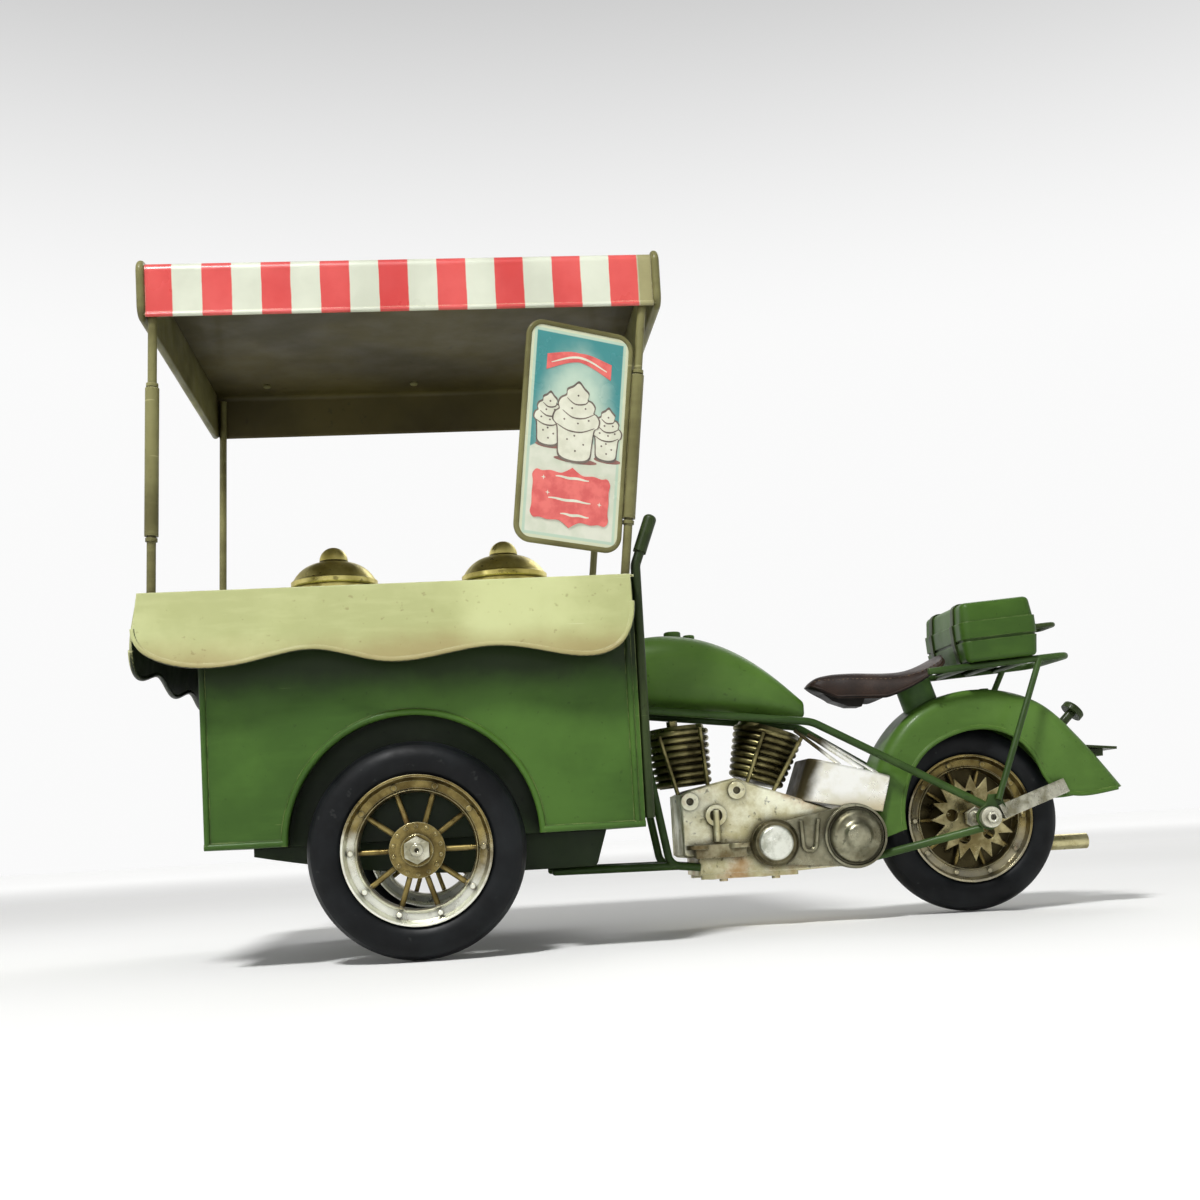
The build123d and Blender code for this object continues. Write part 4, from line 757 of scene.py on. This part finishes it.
def printed_sheet(name, centre, reading, up, face, width, height):
    """Gradient sky over a pale mound, with a light margin; the back is plain cream."""
    look = Finish(name, roughness=0.22, coat=0.7)
    local = look.vector("SUBTRACT", look.place, tuple(centre))
    s = look.math("DIVIDE", look.vector("DOT_PRODUCT", local, tuple(reading)), width)
    t = look.math("DIVIDE", look.vector("DOT_PRODUCT", local, tuple(up)), height)
    n = look.vector("DOT_PRODUCT", local, tuple(face))
    cloud = look.noise(110, 4)
    across = look.math("MULTIPLY", s, s)
    from_glow = look.math("SUBTRACT", t, GLOW_AT)
    above = look.math("MULTIPLY", from_glow, from_glow)
    spread = look.math("ADD", look.math("MULTIPLY", across, 5.0), look.math("MULTIPLY", above, 6.0))
    sky = look.fade(look.math("ADD", spread, look.math("MULTIPLY", cloud, 0.5)), 0.2, 1.35)
    tone = look.mix(sky, paint_rgb(196, 214, 192), paint_rgb(52, 132, 132))
    mound = look.math("SUBTRACT", MOUND_TOP, look.math("MULTIPLY", across, 0.35))
    snow = look.fade(look.math("SUBTRACT", mound, t), -0.004, 0.004)
    ground = look.mix(look.fade(cloud, 0.35, 0.65), paint_rgb(196, 202, 180), paint_rgb(212, 214, 196))
    tone = look.mix(snow, tone, ground)
    reach_s = look.math("ABSOLUTE", s)
    reach_t = look.math("ABSOLUTE", t)
    margin = look.math("MAXIMUM", look.fade(reach_s, *MARGIN_ACROSS), look.fade(reach_t, *MARGIN_UP))
    rim_line = look.math("MAXIMUM", look.fade(reach_s, *RIM_LINE_ACROSS), look.fade(reach_t, *RIM_LINE_UP))
    tone = look.mix(margin, tone, paint_rgb(176, 198, 176))
    tone = look.mix(rim_line, tone, paint_rgb(200, 204, 172))
    back = look.fade(n, -0.1 * MM, 0.1 * MM, 1.0, 0.0)
    aged = look.mix(look.fade(look.noise(60, 4), 0.4, 0.6), paint_rgb(176, 172, 130), paint_rgb(150, 144, 102))
    tone = look.mix(back, tone, aged)
    look.set("Base Color", tone)
    look.gloss(80, 3, 0.16, 0.3)
    look.relief(look.noise(60, 2), 0.1, 0.6 * MM)
    return look.material


def ink(name, first, second):
    """A thick print colour, uneven between two tones."""
    look = Finish(name, roughness=0.26, coat=0.6)
    look.set("Base Color", look.mix(look.fade(look.noise(240, 4), 0.35, 0.65), first, second))
    look.relief(look.noise(400, 2), 0.08, 0.1 * MM)
    return look.material


INKS = {
    "outline": ink("ink_brown", paint_rgb(92, 82, 74), paint_rgb(116, 104, 92)),
    "cream": ink("ink_cream", paint_rgb(206, 206, 184), paint_rgb(220, 220, 200)),
    "coral": ink("ink_coral", paint_rgb(206, 84, 80), paint_rgb(224, 108, 100)),
    "shadow": ink("ink_shadow", paint_rgb(128, 84, 74), paint_rgb(148, 100, 88)),
}
# Thickness of each ink, mm
LAYERS = {"shadow": 0.05, "outline": 0.09, "cream": 0.13, "coral": 0.13}

# Half outline of a soft-serve cup, from its foot to the tip of its swirl, one unit wide and high
CUP_RIGHT = (
    (0.36, 0.02), (0.42, 0.2), (0.46, 0.4), (0.55, 0.45), (0.58, 0.54), (0.50, 0.61), (0.43, 0.63),
    (0.45, 0.71), (0.36, 0.77), (0.26, 0.79), (0.28, 0.87), (0.16, 0.93), (0.02, 1.0),
)
CUP_LEFT = (
    (-0.11, 0.94), (-0.25, 0.89), (-0.27, 0.82), (-0.40, 0.77), (-0.46, 0.70), (-0.43, 0.63),
    (-0.53, 0.58), (-0.57, 0.48), (-0.46, 0.4), (-0.42, 0.2), (-0.36, 0.02), (0.0, -0.03),
)
SWIRL_LINES = (
    ((-0.5, 0.43), (-0.2, 0.36), (0.15, 0.36), (0.48, 0.44)),
    ((-0.36, 0.62), (-0.1, 0.54), (0.2, 0.55), (0.47, 0.63)),
    ((-0.26, 0.79), (-0.05, 0.72), (0.2, 0.74), (0.3, 0.8)),
)
SPRINKLES = (
    (-0.3, 0.5), (0.05, 0.47), (0.32, 0.53), (-0.12, 0.66), (0.22, 0.68), (0.02, 0.84), (-0.2, 0.24),
    (0.22, 0.2), (0.02, 0.1), (-0.02, 0.3),
)
# Each cup's foot on the board, its width, its height and how far it lies above the sheet in mm
CUPS = (
    (-0.275, -0.052, 0.25, 0.235, 0.0), (0.325, -0.082, 0.25, 0.235, 0.0),
    (0.0, -0.105, 0.40, 0.355, 0.13),
)
CUP_LINE = 0.028         # width of the dark line round a cup
DETAIL_LIFT = 0.08       # how far a cup's lines and sprinkles lie above its cream, mm
RIBBON_TOP = 0.345
RIBBON_HALF = 0.035
LABEL_LIFT = 0.2
LABEL_LINE_LIFT = 0.25
LABEL_LINES = ((-0.200, -0.17, 0.17), (-0.305, -0.23, 0.20), (-0.372, -0.10, 0.19))
LABEL_STARS = ((-0.29, -0.214), (-0.24, -0.282), (0.29, -0.305))


class Print:
    """Thin ink shapes laid on one face of a sign's board."""

    def __init__(self, centre, reading, up, face, width, height, proud):
        self.origin, self.reading, self.up, self.face = centre, reading, up, face
        self.width, self.height, self.proud = width, height, proud
        self.shapes = {key: ([], []) for key in INKS}

    def fill(self, key, outline, lift=0.0):
        """A closed outline in board units, given the ink layer's small thickness."""
        vertices, faces = self.shapes[key]
        first, count = len(vertices), len(outline)
        for depth in (self.proud, self.proud + (LAYERS[key] + lift) * MM):
            for s, t in outline:
                across, rise = self.reading * (s * self.width), self.up * (t * self.height)
                vertices.append(self.origin + across + rise + self.face * depth)
        faces.append(tuple(first + k for k in range(count))[::-1])
        faces.append(tuple(first + count + k for k in range(count)))
        for k in range(count):
            nxt = (k + 1) % count
            faces.append((first + k, first + nxt, first + count + nxt, first + count + k))

    def stroke(self, key, run, thickness, lift=0.0):
        """A pen line along a run; thickness is in board widths and thins at both ends."""
        left, right = [], []
        ratio = self.width / self.height
        for index, (s, t) in enumerate(run):
            before, after = run[max(index - 1, 0)], run[min(index + 1, len(run) - 1)]
            turn = atan2((after[1] - before[1]) / ratio, after[0] - before[0])
            half = thickness / 2 * (0.35 + 0.65 * sin(pi * index / (len(run) - 1)))
            left.append((s - sin(turn) * half, t + cos(turn) * half * ratio))
            right.append((s + sin(turn) * half, t - cos(turn) * half * ratio))
        self.fill(key, left + right[::-1], lift)

    def blob(self, key, s, t, radius_s, radius_t, lift=0.0, points=16):
        self.fill(key, [
            (s + radius_s * cos(2 * pi * k / points), t + radius_t * sin(2 * pi * k / points))
            for k in range(points)
        ], lift)

    def build(self, name, body):
        for key, (vertices, faces) in self.shapes.items():
            close_up(add_mesh(
                f"{name}_{key}", vertices, faces, INKS[key], body, smooth=False
            ))


def draw_cup(art, s0, t0, wide, high, lift):
    """A plain cup of soft serve: shadow, dark outline, cream body, swirl lines and sprinkles."""
    def at(points, grow=0.0):
        return [(s0 + x * (wide + grow), t0 + y * high + 0.81 * grow * (y - 0.45)) for x, y in points]

    body = through(CUP_RIGHT + CUP_LEFT, 5, closed=True)
    art.blob("shadow", s0 + 0.02, t0 - 0.008, wide * 0.56, 0.014)
    art.fill("outline", at(body, CUP_LINE), lift)
    art.fill("cream", at(body), lift)
    for line in SWIRL_LINES:
        art.stroke("outline", at(through(line, 6)), 0.014, lift + DETAIL_LIFT)
    for x, y in SPRINKLES:
        art.blob("outline", s0 + x * wide, t0 + y * high, 0.010, 0.0045, lift + DETAIL_LIFT, points=8)


def label_outline():
    """A ticket with scooped corners and a small peak at the middle of its long sides."""
    quarter = through((
        (0.39, 0.0), (0.385, 0.05), (0.395, 0.088), (0.36, 0.112), (0.30, 0.108), (0.22, 0.115),
        (0.12, 0.110), (0.06, 0.122), (0.0, 0.142),
    ), 5)
    upper = quarter + [(-s, t) for s, t in reversed(quarter[:-1])]
    return [(s - 0.005, t - 0.292) for s, t in upper + [(-s, -t) for s, t in upper[1:-1]]]


def star_outline(s, t):
    """Four long points and four short ones between them."""
    points = []
    for k in range(8):
        reach_s, reach_t = (0.024, 0.012) if k % 2 == 0 else (0.007, 0.0035)
        points.append((s + reach_s * cos(pi * k / 4), t + reach_t * sin(pi * k / 4)))
    return points


def draw_sign(name, joint, node, body):
    """The print of one sign: a ribbon, three cups and a ticket with bars and stars."""
    axes = sign_axes(joint, node)
    centre, face = axes[0], axes[3]
    wear(node, printed_sheet(f"{name}_sheet_finish", *axes))
    surface = max((v.co - centre).dot(face) for v in NODES[node].data.vertices)
    art = Print(*axes, surface - 0.01 * MM)
    ribbon = [(s, RIBBON_TOP + 0.028 * cos(s * 6.5)) for s in (k / 24 * 0.66 - 0.33 for k in range(25))]
    upper = [(s, t + RIBBON_HALF * (0.6 + 1.4 * abs(s))) for s, t in ribbon]
    lower = [(s, t - RIBBON_HALF * (0.6 + 1.4 * abs(s))) for s, t in reversed(ribbon)]
    art.fill("coral", upper + lower)
    art.stroke("cream", [(s * 0.86, t) for s, t in ribbon], 0.022, lift=0.05)
    for cup in CUPS:
        draw_cup(art, *cup)
    art.fill("coral", label_outline(), lift=LABEL_LIFT)
    for t, left, right in LABEL_LINES:
        line = [(left + (right - left) * k / 12, t + 0.002 * sin(k)) for k in range(13)]
        art.stroke("cream", line, 0.026, lift=LABEL_LINE_LIFT)
    for s, t in LABEL_STARS:
        art.fill("cream", star_outline(s, t), lift=LABEL_LINE_LIFT)
    art.build(name, body)


draw_sign("rear_sign_print", "rear_sign_swing", "sign_rear_panel", "sign_rear")
draw_sign("front_sign_print", "front_sign_swing", "sign_front_panel", "sign_front")


# --------------------------------------------------------------------- studio
FLOOR_HALF = 6.0
FLOOR_GAP = 0.2 * MM          # under the tyres
GLOW_RANGE = (0.5, 2.4)       # the floor brightens into the surround over these distances
GLOW = 0.62


def build_floor():
    """Plain pale paper that blends into the surround far from the object."""
    look = Finish("studio_floor_paper", roughness=0.85, specular=0.2)
    look.set("Base Color", look.mix(look.noise(3, 3), paint_rgb(232, 232, 230), paint_rgb(240, 240, 239)))
    far = look.mix(look.noise(2, 2), paint_rgb(252, 252, 251), paint_rgb(255, 255, 255))
    look.set("Emission Color", far)
    distance = look.vector("LENGTH", look.place, (0.0, 0.0, 0.0))
    look.set("Emission Strength", look.fade(distance, *GLOW_RANGE, 0.0, GLOW))
    corners = [(x * FLOOR_HALF, y * FLOOR_HALF, 0) for x, y in ((-1, -1), (1, -1), (1, 1), (-1, 1))]
    mesh = bpy.data.meshes.new("studio_floor")
    mesh.from_pydata(corners, [], [(0, 1, 2, 3)])
    mesh.materials.append(look.material)
    floor = bpy.data.objects.new("studio_floor", mesh)
    floor.location.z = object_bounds()[0][2] - FLOOR_GAP
    bpy.context.scene.collection.objects.link(floor)


# Each light's place, the point it shines at, its size across in metres and its power in watts
LIGHTS = {
    "key_light": ((-0.40, -0.78, 1.30), (-0.02, 0.0, 0.08), 0.26, 20.5),
    "side_light": ((-1.1, -0.7, 0.55), (-0.05, 0.0, 0.1), 0.6, 0.9),
    "back_light": ((0.5, 0.9, 1.0), (0.0, 0.0, 0.1), 0.7, 4),
}


def add_light(name, location, target, size, power):
    """A round soft light."""
    data = bpy.data.lights.new(name, "AREA")
    data.shape = "DISK"
    data.size = size
    data.energy = power
    lamp = bpy.data.objects.new(name, data)
    lamp.location = location
    lamp.rotation_euler = (Vector(target) - Vector(location)).to_track_quat("-Z", "Y").to_euler()
    bpy.context.scene.collection.objects.link(lamp)


CAMERA_AT = (-0.0759815, -0.5742892, 0.0382096)
CAMERA_TURN = (0.0946, 0.08, 0.0563)    # yaw, pitch and roll, in radians
CAMERA_SHIFT = 0.0939


def add_camera():
    """Camera low beside the cart, turned a little to the rear and tipped up."""
    yaw, pitch, roll = CAMERA_TURN
    forward = Vector((sin(yaw) * cos(pitch), cos(yaw) * cos(pitch), sin(pitch)))
    level = Vector((cos(yaw), -sin(yaw), 0.0))
    above = level.cross(forward)
    right = level * cos(roll) - above * sin(roll)
    upward = level * sin(roll) + above * cos(roll)
    data = bpy.data.cameras.new("studio_camera")
    data.sensor_width = 36
    data.lens = 45
    data.shift_y = CAMERA_SHIFT
    data.clip_start = 0.01
    camera = bpy.data.objects.new("studio_camera", data)
    turn = Matrix((right, upward, -forward)).transposed().to_4x4()
    camera.matrix_world = Matrix.Translation(CAMERA_AT) @ turn
    bpy.context.scene.collection.objects.link(camera)
    bpy.context.scene.camera = camera


HORIZON_LIGHT = 0.96
OVERHEAD_LIGHT = 0.24
DIMS_BETWEEN = (0.3, 0.72)    # heights on the unit sphere
NEAR_SIDE = 0.24              # how much lower it starts to dim on the near side


def build_world():
    """Pale surround, brightest at the horizon and behind the object, like lit paper."""
    world = bpy.data.worlds.new("studio_world")
    world.use_nodes = True
    tree = world.node_tree
    heading = tree.nodes.new("ShaderNodeSeparateXYZ")
    tree.links.new(tree.nodes.new("ShaderNodeTexCoord").outputs["Generated"], heading.inputs[0])

    def fade(source, low, high, start, end):
        ramp = tree.nodes.new("ShaderNodeMapRange")
        ramp.interpolation_type = "SMOOTHSTEP"
        for socket, value in (("From Min", low), ("From Max", high), ("To Min", start), ("To Max", end)):
            ramp.inputs[socket].default_value = value
        tree.links.new(source, ramp.inputs["Value"])
        return ramp.outputs["Result"]

    raised = tree.nodes.new("ShaderNodeMath")
    tree.links.new(heading.outputs["Z"], raised.inputs[0])
    tree.links.new(fade(heading.outputs["Y"], -0.4, 0.6, NEAR_SIDE, 0.0), raised.inputs[1])
    background = tree.nodes["Background"]
    background.inputs["Color"].default_value = (1.0, 1.0, 1.0, 1.0)
    strength = fade(raised.outputs[0], *DIMS_BETWEEN, HORIZON_LIGHT, OVERHEAD_LIGHT)
    tree.links.new(strength, background.inputs["Strength"])
    bpy.context.scene.world = world


build_floor()
add_camera()
for name, (location, target, size, power) in LIGHTS.items():
    add_light(name, location, target, size, power)
build_world()
bpy.context.scene.view_settings.view_transform = "Standard"
